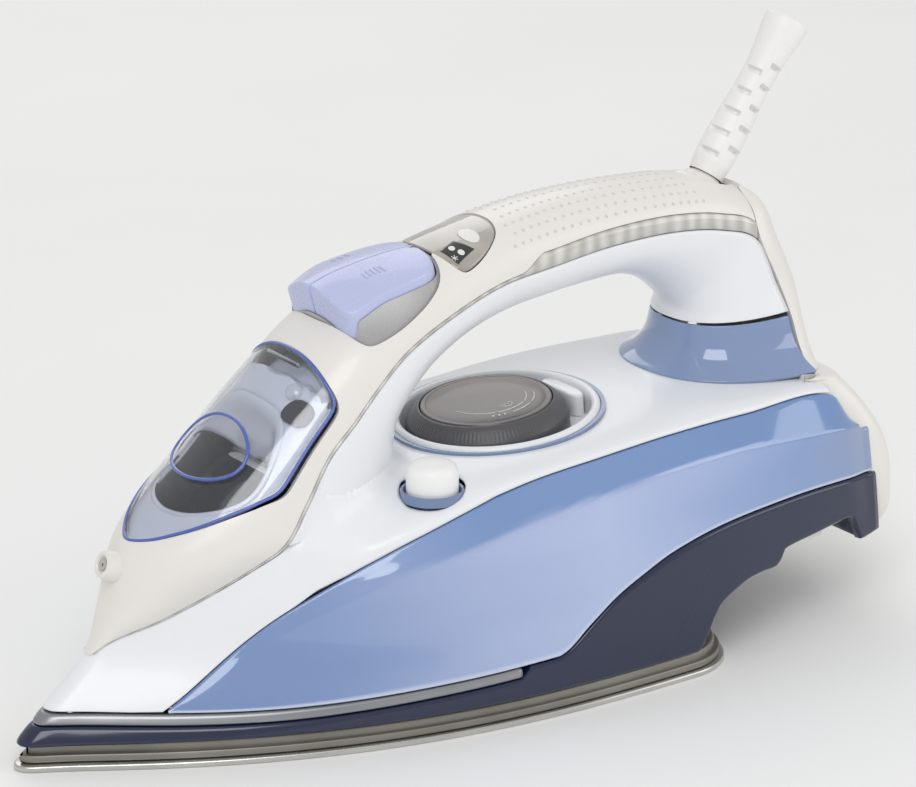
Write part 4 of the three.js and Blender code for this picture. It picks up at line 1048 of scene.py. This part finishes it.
lid_clear, tree, shader = finish_of("clear_san", IOR=1.16, Coat_Weight=1.0, Coat_Roughness=0.015,
                                    Coat_IOR=1.5, Transmission_Weight=1.0)
flow = noise(tree, 22.0)
wire(tree, shader, Base_Color=blend(tree, flow, "#f1f4fb", "#ffffff"),
     Roughness=remap(tree, flow, 0.0, 0.04))
lid_blue = moulded("blue_lid_rim_abs", "#4d63b4", 0.12, variation=0.06, depth=0.002, Coat_Weight=0.6)
LID_WALL, LID_PIN = 1.5, (72.9, -1.9)
rim_outline = even(lid_outline, 150)
piece(facing(laid(lid_frame, rim_outline, 0, 44, 0.992), (-60, 0, 60)), "lid_window", "lid", "clear_lid",
      lid_clear, "filler_lid", wall=LID_WALL)
piece(tube([on_shell(lid_frame, x * 0.998 + 0.08, y * 0.988, -0.15) for x, y in rim_outline], 0.5),
      "lid_rim", "lid", "blue_collar", lid_blue)
RING_MIDDLE, RING_HALF = 38, (11.1, 16.5)
ring = oval(RING_MIDDLE, 0, *RING_HALF, 96)
piece(tube([on_shell(lid_frame, x, y, -0.1) for x, y in ring], 0.55), "lid_finger_ring", "lid",
      "blue_collar", lid_blue)
pin_place = lid_frame @ Matrix.Translation((LID_PIN[0], 0, LID_PIN[1])) @ Matrix.Rotation(pi / 2, 4, "X")
ground_steel = rolled_metal("ground_pin_steel", "#9a9ea3", "#d4d7da", 0.22)
pin_half = 8.5
bm = lathe([(0, -pin_half), (0.75, -pin_half), (1, -pin_half + 0.25), (1, pin_half - 0.25),
            (0.75, pin_half), (0, pin_half)], 24)
piece(set_in(bm, pin_place), "lid_hinge_pin", "root", "pin_steel", ground_steel, "lid_pin")

# ---- Filler basin ----
# Pale blue-white ABS under the lid: a flush margin, a bowl that leads the water down to an inlet, and a
# pocket at the upper end with the clear snap stud that holds the lid shut. The inlet's throat and the
# pocket's floor are near-black: painted shade.
BOWL_SIDE = [(14.8, 0), (16, 7.5), (19, 13.2), (24, 18.8), (30.8, 22.3), (38.4, 22.2), (44.6, 21),
             (52, 18.6), (56.6, 16), (58.4, 12), (59, 6), (59, 0)]
POCKET = [(57, -14.5), (61, -14), (64.5, -16), (65.2, -20.5), (63, -22.8), (57.6, -22.4), (56.2, -18)]
MARGIN_DEPTH = 2.9
TAIL_ROOM = 4.8  # the lid's short end swings down here as it opens
basin_white = moulded("pale_basin_abs", "#dfe4f2", 0.22, variation=0.02, depth=0.004, Coat_Weight=0.3)
# Painted shade: a near-black finish for the insides of the inlet, the latch pocket's floor and the nozzle's
# pinhole.
painted_hole_shade = moulded("painted_shade_in_holes", "#2c313e", 0.12, variation=0.12, depth=0.003, Coat_Weight=0.4)
BOWL_COLUMNS, INLET_COLUMNS = 130, 90
bowl_outline = even(round_off(both_sides(BOWL_SIDE)), BOWL_COLUMNS)
bowl_middle = (36, 0)


def margin_point(u, v):
    """From the bowl's edge out to the lid's opening."""
    edge = Vector(bowl_outline[round(u * BOWL_COLUMNS) % BOWL_COLUMNS])
    away = (edge - Vector(bowl_middle)).normalized()
    far = edge + away * 60
    best = None
    for a, b in zip(lid_outline, lid_outline[1:] + lid_outline[:1]):
        a, b = Vector(a), Vector(b)
        hit = intersect_line_line_2d(edge, far, a, b)
        if hit:
            best = hit if best is None or (hit - edge).length < (best - edge).length else best
    x, y = edge.lerp(best - away * 0.15, v)
    return on_shell(lid_frame, x, y, mix(-MARGIN_DEPTH, -1.9, v) - TAIL_ROOM * ease(x, 68.5, 70.5))


BOWL_FLOOR = through([[14, 8.5], [20, 12], [30, 15], [40, 13], [50, 8], [59, 4]])


def bowl_point(u, v):
    edge = Vector(bowl_outline[round(u * BOWL_COLUMNS) % BOWL_COLUMNS])
    x, y = Vector(bowl_middle) + (edge - Vector(bowl_middle)) * v
    depth = BOWL_FLOOR(x) * (1 - v ** 3.2)
    rim = on_shell(lid_frame, x, y, -MARGIN_DEPTH)
    flat = on_shell(lid_frame, x, 0, -MARGIN_DEPTH)
    lowest = (lid_frame.inverted() @ rim).z - depth * ease(v, 1.0, 0.72) - 0.5 * depth * (1 - v)
    least = (lid_frame.inverted() @ flat).z - depth * 0.4 * (1 - v)
    return lid_frame @ Vector((x, y, min(lowest, least)))


piece(facing(draped(BOWL_COLUMNS, 10, margin_point), (-60, 0, 60)), "basin_margin", "root",
      "basin_plastic", basin_white, "filler_basin", wall=0.8)
bm = facing(draped(BOWL_COLUMNS, 26, bowl_point), (-60, 0, 40))
INLET_SIDE = [(16.2, 0), (17.6, 7.5), (20.6, 13.4), (25.5, 18.4), (31.6, 21), (38.6, 21), (43.6, 19),
              (46, 14), (45.6, 7), (45, 0)]
inlet_outline = round_off(both_sides(INLET_SIDE))
bowl_surface = BVHTree.FromBMesh(bm)
cut_hole(bm, lid_frame, inlet_outline)
piece(bm, "basin_bowl", "root", "basin_plastic", basin_white, wall=1.0)
inlet_even = even(inlet_outline, INLET_COLUMNS)


def throat_point(u, v):
    edge = Vector(inlet_even[round(u * INLET_COLUMNS) % INLET_COLUMNS])
    middle = Vector((31, 0))
    x, y = middle + (edge - middle) * mix(1.0, 0.0, ease(v, 0.55, 1.0))
    out = lid_frame.to_3x3() @ Vector((0, 0, 1))
    hit = bowl_surface.ray_cast((lid_frame @ Vector((edge.x, edge.y, 30))) * MM, -out, 0.1)[0]
    top = (lid_frame.inverted() @ (hit / MM)).z if hit else -12
    return lid_frame @ Vector((x, y, mix(top, min(top, -20), ease(v, 0.0, 0.6))))


# The inlet's throat and the latch pocket's floor in painted shade.
piece(facing(draped(INLET_COLUMNS, 16, throat_point), (-60, 0, 60)), "inlet_throat", "root",
      "basin_plastic", painted_hole_shade)
piece(facing(laid(lid_frame, even(round_off(POCKET, 1), 40), -1.75, 6), (-60, 0, 60)), "latch_pocket",
      "root", "basin_plastic", painted_hole_shade)
STUD = [(0, 3.2), (1.6, 3.1), (2.6, 2.4), (2.9, 1.2), (2.9, -1.5), (0, -1.5)]
stud_seat = on_shell(lid_frame, 65.5, -12.5, -MARGIN_DEPTH - 1.4)
stud_frame = Matrix.Translation(stud_seat) @ lid_frame.to_3x3().to_4x4() @ Matrix.Rotation(0.5, 4, "X")
stud_clear = moulded("cloudy_latch_san", "#cdd8e4", 0.08, variation=0.14, grain_mm=2.0, depth=0.02,
                     Coat_Weight=1.0)
piece(set_in(lathe(STUD, 28), stud_frame), "latch_stud", "root", "clear_lid", stud_clear)

# ---- Spray nozzle ----
# A small stub on the nose with a pale grey insert and a pinhole, fed by a hose from the left pump.
NOZZLE = [(0, -3), (4.9, -3), (4.7, 1.5), (4.3, 5.2), (3.9, 6.2), (3.0, 6.6), (2.5, 6.2), (2.3, 5.7),
          (0, 5.7)]
nozzle_axis = Vector((-0.93, 0, 0.36))
nozzle_turn = nozzle_axis.to_track_quat("Z", "Y").to_matrix().to_4x4()
nozzle_place = Matrix.Translation(nozzle_frame.translation + Vector((-1.2, 0, -3.6))) @ nozzle_turn
piece(set_in(lathe(NOZZLE, 40), nozzle_place), "nozzle_stub", "root", "warm_white_plastic", warm_white,
      "spray_nozzle")
nozzle_grey = moulded("nozzle_insert_acetal", "#b9b7b1", 0.3, variation=0.04)
piece(set_in(lathe([(0.45, 4), (0.45, 6.1), (0.9, 6.4), (1.7, 6.4), (1.9, 6), (1.9, 4), (0.45, 4)], 28),
             nozzle_place), "nozzle_insert", "root", "cool_white_plastic", nozzle_grey)
# The pinhole is a near-black disc: painted shade.
piece(set_in(lathe([(0, 5.9), (0.46, 5.9)], 16), nozzle_place), "nozzle_pinhole", "root",
      "cool_white_plastic", painted_hole_shade)

# ---- Spray and steam buttons ----
# Two lavender ABS caps side by side on the front of the handle, turned down at the nose end, over a grey
# plinth that stands in the shell's opening; the plinth is painted darker towards its rear and its foot as
# shade.
CAP_SIDE = [(-21.6, 0), (-21.4, 8), (-20.9, 14.5), (-19.6, 17.2), (-17, 18.1), (-8, 18.2), (2, 17.9),
            (9, 17), (13.4, 14.4), (15.6, 9.8), (16.3, 5), (16.5, 0)]
CREST = through([[-22, 4.6], [-14, 4.9], [-4, 4.2], [4, 3.2], [11, 1.9], [17, 0.4]])
CAP_DROOP, SEAM_HALF = 0.0125, 0.14
TOP_SHARE, EDGE_SHARE = 0.7, 0.15


def cap_height(x, y):
    front = ease(x, -6, -21) * ease(abs(y), 3, 18)
    return CREST(x) - CAP_DROOP * y * y - 2.4 * front


def turned_down(x):
    """How far the cap's edge reaches down: most at the nose end."""
    return mix(1.9, 8.2, ease(x, -17.5, -20.8))


def cap(outline, middle, rings=14, edge=1.1, skirt=4.5):
    count = len(outline)

    def place(u, v):
        rim = Vector(outline[round(u * count) % count])
        if v <= TOP_SHARE:
            share = v / TOP_SHARE
            x, y = Vector(middle) + (rim - Vector(middle)) * (1 - (1 - share) ** 1.4) * 0.965
            return button_frame @ Vector((x, y, cap_height(x, y)))
        turn = (v - TOP_SHARE) / EDGE_SHARE
        if turn <= 1:
            x, y = Vector(middle) + (rim - Vector(middle)) * mix(0.965, 1.0, sin(turn * pi / 2))
            return button_frame @ Vector((x, y, cap_height(x, y) - edge * (1 - cos(turn * pi / 2))))
        down = edge + (turned_down(rim.x) + skirt) * (v - TOP_SHARE - EDGE_SHARE) / EDGE_SHARE
        return button_frame @ Vector((rim.x, rim.y, cap_height(rim.x, rim.y) - down))

    return draped(count, rings * 2, place)


def half_cap(side):
    near = [(x, max(y, SEAM_HALF)) for x, y in CAP_SIDE]
    curve = round_off(near)
    straight = [(mix(16.5, -21.6, i / 24), SEAM_HALF) for i in range(25)]
    kept = [p for p in curve if p[1] > SEAM_HALF + 0.05]
    return [(x, side * y) for x, y in straight + kept]


def add_stroke(target, line, radius, sides=6):
    """Adds a round stroke along a line to a growing set of marks."""
    stroke = tube(line, radius, closed=False, sides=sides)
    mesh = bpy.data.meshes.new("stroke")
    stroke.to_mesh(mesh)
    stroke.free()
    target.from_mesh(mesh)
    bpy.data.meshes.remove(mesh)


lavender = moulded("satin_lavender_abs", "#bcc3e6", 0.28, variation=0.02, depth=0.006, Coat_Weight=0.2)
for side, name in ((-1, "spray"), (1, "steam")):
    outline = even(half_cap(side), 130)
    bm = facing(cap(outline, (-3, side * 9)), (-28, 0, 118))
    piece(bm, f"{name}_cap", f"{name}_button", "lavender_plastic", lavender, f"{name}_button", crease=45)
    marks = bmesh.new()
    strokes = ([(-3.2, 0), (-1.6, 1.6), (0, 2.1), (1.6, 1.6), (3.2, 0)] if name == "spray"
               else [(-2.4, 0), (0, 0), (2.4, 0)])
    for x, bend in strokes:
        ends = [Vector((-4 + x, side * (9 + k) + bend * 0.2, 0)) for k in (-1.5, -0.5, 0.5, 1.5)]
        line = [button_frame @ Vector((p.x, p.y, cap_height(p.x, p.y) + 0.05)) for p in ends]
        add_stroke(marks, line, 0.32, sides=8)
    piece(marks, f"{name}_mark", f"{name}_button", "lavender_plastic", lavender)

# Painted shade: the plinth's grey runs from light at the front top to dark at the rear and the foot.
plinth_grey, tree, shader = finish_of("shaded_grey_abs", Coat_Weight=0.25)
shade = node(tree, "Attribute", {}, attribute_name="plinth_shade").outputs["Fac"]
wire(tree, shader, Base_Color=colour_ramp(tree, shade, [(0.0, "#c4c4c4"), (1.0, "#6e6d71")]),
     Roughness=remap(tree, noise(tree, 900.0), 0.2, 0.34))
PLINTH_COLUMNS = 150
whole_cap = even(round_off(both_sides(CAP_SIDE)), PLINTH_COLUMNS)
recess = even(button_outline, PLINTH_COLUMNS)


def plinth_point(u, v):
    i = round(u * PLINTH_COLUMNS) % PLINTH_COLUMNS
    x0, y0 = (Vector(whole_cap[i]) - Vector((-2.5, 0))) * 1.022 + Vector((-2.5, 0))
    foot = button_frame.inverted() @ on_shell(button_frame, recess[i][0], recess[i][1] * 0.998, -0.9)
    head = Vector((x0, y0, max(cap_height(*whole_cap[i]) - 1.1 - turned_down(x0), foot.z + 0.2)))
    inner = Vector((x0 * 0.995, y0 * 0.985, head.z - 3))
    if v < 0.2:
        return button_frame @ inner.lerp(head, v / 0.2)
    return button_frame @ head.lerp(foot, (v - 0.2) / 0.8)


bm = facing(draped(PLINTH_COLUMNS, 15, plinth_point), (-25, 0, 128))
plinth = piece(bm, "button_plinth", "root", "grey_plastic", plinth_grey, "button_well", crease=45)
# Painted shade, darker low down and towards the rear.
paint(plinth, "plinth_shade", lambda p: ease(p.z, 127, 116) * 0.45 + 0.55 * ease(p.x, -30, -8))

# ---- Indicator window ----
# A smoked acrylic lens let into the handle behind the buttons. Under it lie a black panel with two
# lamps and a snowflake-like mark, and a pearly disc for the switch-off lamp.
lens_smoke, tree, shader = finish_of("smoked_acrylic_lens", IOR=1.49, Coat_Weight=1.0,
                                     Coat_Roughness=0.02)
smoke = noise(tree, 90.0)
wire(tree, shader, Base_Color=blend(tree, smoke, "#8e877d", "#cbc6be"),
     Roughness=remap(tree, smoke, 0.08, 0.22))
panel_black = moulded("black_panel_abs", "#232426", 0.14, variation=0.1, depth=0.003, Coat_Weight=0.8)
lamp_white = moulded("diffuse_lamp_acrylic", "#e7e7e5", 0.35, variation=0.03, depth=0.002)
piece(facing(laid(window_frame, even(window_outline, 120), -0.35, 18, 0.985), (-10, 0, 100)),
      "window_lens", "root", "smoke_window", lens_smoke, "indicator_window", wall=1.2)
PANEL = [(-8.4, -8.4), (-2.2, -6.9), (0.8, -13.2), (-7.2, -15.3)]
piece(facing(laid(window_frame, even(PANEL, 60), -0.28, 10), (-10, 0, 100)), "lamp_panel", "root",
      "black_plastic", panel_black, "indicator_panel", wall=0.05)

for name, x, y in (("indicator_lamp_1", -4.9, -9.6), ("indicator_lamp_2", -3.6, -12.4)):
    piece(facing(laid(window_frame, oval(x, y, 1.0, 1.1), -0.2, 6), (-10, 0, 100)), f"{name}_lens", "root",
          "white_lens", lamp_white, name, wall=0.05)
piece(facing(laid(window_frame, oval(3.2, -7.2, 2.7, 4.3), -0.12, 8), (-10, 0, 100)), "switch_off_disc",
      "root", "white_lens", lamp_white, "auto_off_lamp", wall=0.2)
marks = bmesh.new()
for turn in range(3):
    reach = Vector((cos(turn * pi / 3), sin(turn * pi / 3))) * 1.05
    line = [on_shell(window_frame, -6.7 + reach.x * k, -13.2 + reach.y * k, -0.2)
            for k in (-1, -0.3, 0.3, 1)]
    add_stroke(marks, line, 0.13)
piece(marks, "panel_mark", "root", "white_lens", lamp_white)

# ---- Temperature dial ----
# A dark grey ABS knob, turned with a fine knurl under its top edge, in a white recess that runs long
# towards the heel. A brownish-grey cap with printed heat marks is pressed into the top.
WELL_FLOOR, DIAL_RADIUS, DIAL_TOP, DIAL_RISE, DIAL_SINK = -7, 25.5, 21, 4.5, 6
CAP_RADIUS, KNURLS, KNURL_DEPTH = 20.5, 120, 0.16
rim_profile = [(WELL_INNER - 0.6, WELL_FLOOR), (WELL_INNER - 0.1, -2.5), (WELL_INNER, 0.2),
               (WELL_INNER + 0.4, 0.9), (WELL_INNER + 1.2, 1.25), (WELL_INNER + 2.2, 1.1),
               (WELL_INNER + 2.8, 0.3), (WELL_INNER + 2.9, -1.2)]
well_place = dial_frame @ Matrix.Translation((WELL_SHIFT, 0, 0))
floor_profile = [(WELL_INNER - 3, WELL_FLOOR), (WELL_INNER - 1.4, WELL_FLOOR + 0.5)]
piece(set_in(lathe(floor_profile + rim_profile, 120), well_place), "dial_recess_rim", "root",
      "cool_white_plastic", cool_white, "dial_well", crease=50)
piece(set_in(lathe([(3.2, WELL_FLOOR), (WELL_INNER - 2.9, WELL_FLOOR)], 96), well_place),
      "dial_recess_floor", "root", "cool_white_plastic", cool_white)
line_blue = moulded("blue_grey_inlay_abs", "#7285a9", 0.2, variation=0.06, depth=0.003, Coat_Weight=0.4)
line_profile = [(WELL_INNER + 2.9, -0.9), (WELL_INNER + 3.1, 0.15), (WELL_INNER + 4.4, 0.2),
                (WELL_INNER + 4.5, -0.8)]
piece(set_in(lathe(line_profile, 120), well_place), "dial_recess_line", "root", "blue_collar", line_blue,
      crease=50)
BLOCK = [(26.4, -8.4), (29.4, -10.6), (31.6, -7.2), (31.9, 0), (31.6, 7.2), (29.4, 10.6), (26.4, 8.4),
         (27.2, 0)]
bm = plate([Vector((x, y)) for x, y in even(round_off(BLOCK, 2), 40)], WELL_FLOOR, 0.4, 0.8)
piece(set_in(bm, dial_frame), "dial_pointer_block", "root", "cool_white_plastic", cool_white)


def knurled(u, v):
    """The knob's side: straight below, a knurled shoulder above, and a rolled top edge."""
    section = [(DIAL_RADIUS - 0.5, -DIAL_SINK), (DIAL_RADIUS, -DIAL_SINK + 0.5), (DIAL_RADIUS, -1.2),
               (DIAL_RADIUS - 0.3, 0.0), (DIAL_RADIUS - 1.1, 1.5), (DIAL_RADIUS - 2.1, 2.8),
               (DIAL_RADIUS - 3.2, 3.8), (DIAL_TOP + 0.6, 4.35), (DIAL_TOP - 0.1, DIAL_RISE),
               (CAP_RADIUS + 0.25, 4.2), (CAP_RADIUS + 0.2, 3.2)]
    k = v * (len(section) - 1)
    i = min(int(k), len(section) - 2)
    radius, height = (mix(a, b, k - i) for a, b in zip(section[i], section[i + 1]))
    wave = KNURL_DEPTH * (0.5 - 0.5 * cos(2 * pi * u * KNURLS))
    groove = wave * ease(height, 0.6, 1.2) * (1 - ease(height, 3.0, 3.4))
    angle = 2 * pi * u
    return Vector(((radius - groove) * cos(angle), (radius - groove) * sin(angle), height))


dial_dark = moulded("dark_grey_knob_abs", "#515154", 0.4, variation=0.04, depth=0.02)
bm = draped(KNURLS * 4, 40, knurled)
bmesh.ops.recalc_face_normals(bm, faces=bm.faces)
if bm.faces[0].normal.dot(bm.faces[0].calc_center_median()) < 0:
    bmesh.ops.reverse_faces(bm, faces=bm.faces)
piece(set_in(bm, dial_frame), "dial_knob", "dial", "dial_grey", dial_dark, "dial_ring", crease=60)
# The cap's colour carries a painted sheen: lighter towards its rear and far side, darker at the front and
# near side.
dial_brown, tree, shader = finish_of("brown_grey_cap_painted_sheen", Coat_Weight=0.3, Coat_Roughness=0.1)
shade = node(tree, "Attribute", {}, attribute_name="cap_shade").outputs["Fac"]
sheen = colour_ramp(tree, shade, [(0.0, "#4f4c4b"), (0.55, "#5d5350"), (1.0, "#857870")])
wire(tree, shader, Base_Color=sheen, Roughness=remap(tree, noise(tree, 1400.0), 0.26, 0.4))
cap_profile = [(CAP_RADIUS, 3.2), (CAP_RADIUS, 4.35), (CAP_RADIUS - 0.35, 4.75), (CAP_RADIUS - 1.6, 4.9),
               (CAP_RADIUS - 1.9, 4.8), (CAP_RADIUS - 2.2, 4.9), (13, 5.15), (7, 5.25), (0, 5.3)]
dial_cap = piece(set_in(lathe(cap_profile, 120), dial_frame), "dial_cap_disc", "dial", "dial_top",
                 dial_brown, "dial_cap", crease=25)
# Painted sheen, lighter towards the rear and the far side.
paint(dial_cap, "cap_shade", lambda p: 0.5 + (p.x - DIAL_X) / 80 + p.y / 50)
print_white = moulded("dial_print_ink", "#cfcfcd", 0.5, variation=0.04)
marks = bmesh.new()


def arc(radius, start, end, z, count=24):
    """Points along an arc on the dial's top, in degrees."""
    angles = [radians(mix(start, end, i / count)) for i in range(count + 1)]
    return [dial_frame @ Vector((radius * cos(a), radius * sin(a), z)) for a in angles]


HEAT_ARCS = [(12.6, -172, -112), (12.6, -108, -60), (12.6, -56, -22), (15, -92, -60), (15, -56, -26)]
for radius, start, end in HEAT_ARCS:
    add_stroke(marks, arc(radius, start, end, 5.12), 0.24)
for degrees in (-118, -111, -104):
    add_stroke(marks, arc(15, degrees, degrees + 2.4, 5.05, 3), 0.45)
STEAM = [[(-2.6, 1), (-1.6, -1.2), (0, -1.8), (1.6, -1.2), (2.6, 1)],
         [(-1.4, 1.2), (-0.6, 0.2), (-1.2, -0.6)], [(0.2, 1.5), (0.9, 0.4), (0.3, -0.5)],
         [(1.7, 1.7), (2.2, 0.9)]]
for stroke in STEAM:
    line = [dial_frame @ Vector((1.5 + x * 0.9, -9 + y * 0.9, 5.2)) for x, y in stroke]
    add_stroke(marks, line, 0.2)
piece(marks, "dial_marks", "dial", "dial_top", print_white, crease=60)

# ---- Self-clean push button ----
# A white acetal button with a softly rounded top in a glossy blue-grey ABS cup.
push_up = Matrix.Translation(PUSH_PLACE)
CUP = [(2.6, -9), (8.5, -9), (8.5, 0.1), (8.75, 0.7), (9.3, 0.9), (9.75, 0.6), (9.8, -2)]
piece(set_in(lathe(CUP, 72), push_up), "push_cup_sleeve", "root", "blue_collar", line_blue, "push_cup")
BUTTON = [(0, 3), (5.6, 3), (5.6, -3.4), (7.8, -3.4), (7.9, 5.2), (7.75, 6.6), (7.2, 7.9), (6.2, 8.7),
          (4.6, 9.1), (2, 9.27), (0, 9.3)]
push_white = moulded("white_acetal", "#f2f2f1", 0.36, variation=0.01, depth=0.004)
piece(set_in(lathe(BUTTON, 72), push_up), "push_knob", "push_button", "cool_white_plastic", push_white,
      "push_button")

# ---- Cord outlet ----
# A white domed swivel in the end of the handle and the soft ribbed boot that keeps the cord from kinking.
# The boot is moulded in PVC with slots cut in turn across and along it.
BALL, BORE, BOOT_BASE, BOOT_END = 7.2, 3.3, 5.3, 61.0
SWIVEL = [(BORE, -6.4)] + [(BALL * cos(a / 100), BALL * sin(a / 100))
                           for a in range(-100, 101, 20)] + [(BORE, 6.4)]
piece(set_in(lathe(SWIVEL + [SWIVEL[0]], 64), swivel_frame), "swivel_ball", "cord_swivel",
      "warm_white_plastic", warm_white, "cord_swivel")
BOOT = through([[5.3, 5.7], [8, 6], [10, 6.3], [16, 6.5], [26, 6.1], [34, 5.6], [43, 5.5], [50, 6.1],
                [57, 7.1], [60.4, 7.35]])
SLOTS, SLOT_PITCH, SLOT_DEPTH = 5, 7.4, 1.9
OUTSIDE = 0.86


def boot_point(u, v):
    """Outside, rolled end, and the bore back down; slots dip in from the outside."""
    angle = 2 * pi * u
    if v > OUTSIDE:
        share = (v - OUTSIDE) / (1 - OUTSIDE)
        radius = mix(BOOT(BOOT_END - 0.6) - 0.3, BORE, limit(share * 3))
        return swivel_frame @ Vector((radius * cos(angle), radius * sin(angle),
                                      mix(BOOT_END, 46, limit(share * 3 - 1))))
    along = mix(BOOT_BASE, BOOT_END - 0.1, v / OUTSIDE)
    radius = BOOT(along) - 0.35 * ease(along, BOOT_END - 0.9, BOOT_END)
    for k in range(SLOTS):
        level = BOOT_BASE + 6.5 + k * SLOT_PITCH
        for lane, turn in ((level, 0.35), (level + SLOT_PITCH / 2, 0.35 + pi / 2)):
            away = abs(sin(angle - turn))
            deep = (1 - ease(abs(along - lane), 0.55, 0.95)) * (1 - ease(away, 0.5, 0.62))
            radius -= SLOT_DEPTH * deep
    return swivel_frame @ Vector((radius * cos(angle), radius * sin(angle), along))


seat = [(7.7, -3), (7.7, 1.2), (8.1, 2), (8.9, 2.3), (9.8, 1.7), (10.8, 0), (11.6, -2.4), (11.8, -4)]
piece(set_in(lathe(seat, 72), swivel_frame), "swivel_seat", "root", "warm_white_plastic", warm_white)
boot_white = moulded("soft_boot_pvc", "#f0efed", 0.42, variation=0.012, depth=0.012)
bm = draped(144, 230, boot_point)
bmesh.ops.recalc_face_normals(bm, faces=bm.faces)
piece(bm, "boot_sleeve", "cord_boot", "boot_white", boot_white, "cord_boot", crease=50)

# ---- Inside parts ----
# The parts behind the shells keep their CAD shapes: heater, boiler cover, pumps, springs, hoses,
# thermostat, board and terminals, each in the finish of its real material.
heater_steel = rolled_metal("annealed_heater_sheath", "#7d776c", "#b3aea2", 0.42)
cover_alloy = rolled_metal("die_cast_boiler_cover", "#8f8f8c", "#b9bab8", 0.5)
spring_steel = rolled_metal("spring_steel_wire", "#8e9195", "#c5c8cb", 0.25)
terminal_brass = rolled_metal("tinned_brass_tag", "#a39a7c", "#d0c9ae", 0.3)
hose_silicone = moulded("translucent_silicone_hose", "#d6d1c4", 0.55, variation=0.05)
natural_acetal = moulded("natural_acetal_mould", "#dedacd", 0.45, variation=0.03)
board_green = moulded("solder_mask_laminate", "#2f6b4a", 0.4, variation=0.08)
ceramic = moulded("steatite_ceramic_block", "#dcd6c4", 0.6, variation=0.04)
clamp_black = moulded("black_nylon_clamp", "#2f3032", 0.5, variation=0.08)
INSIDE = [
    (heater_steel, ["heating_element"]),
    (cover_alloy, ["steam_chamber_cover"]),
    (spring_steel, ["spray_spring", "steam_spring", "push_spring"]),
    (terminal_brass, ["heater_terminal_1", "heater_terminal_2"]),
    (hose_silicone, ["spray_hose", "steam_hose"]),
    (natural_acetal, ["spray_pump_barrel", "steam_pump_barrel", "dial_spindle", "cord_socket"]),
    (board_green, ["control_board"]),
    (ceramic, ["thermostat", "thermal_fuse", "terminal_block"]),
    (clamp_black, ["cord_clamp"]),
]
for finish, names in INSIDE:
    for name in names:
        mesh = frame["nodes"][name].data
        mesh.materials.clear()
        mesh.materials.append(finish)
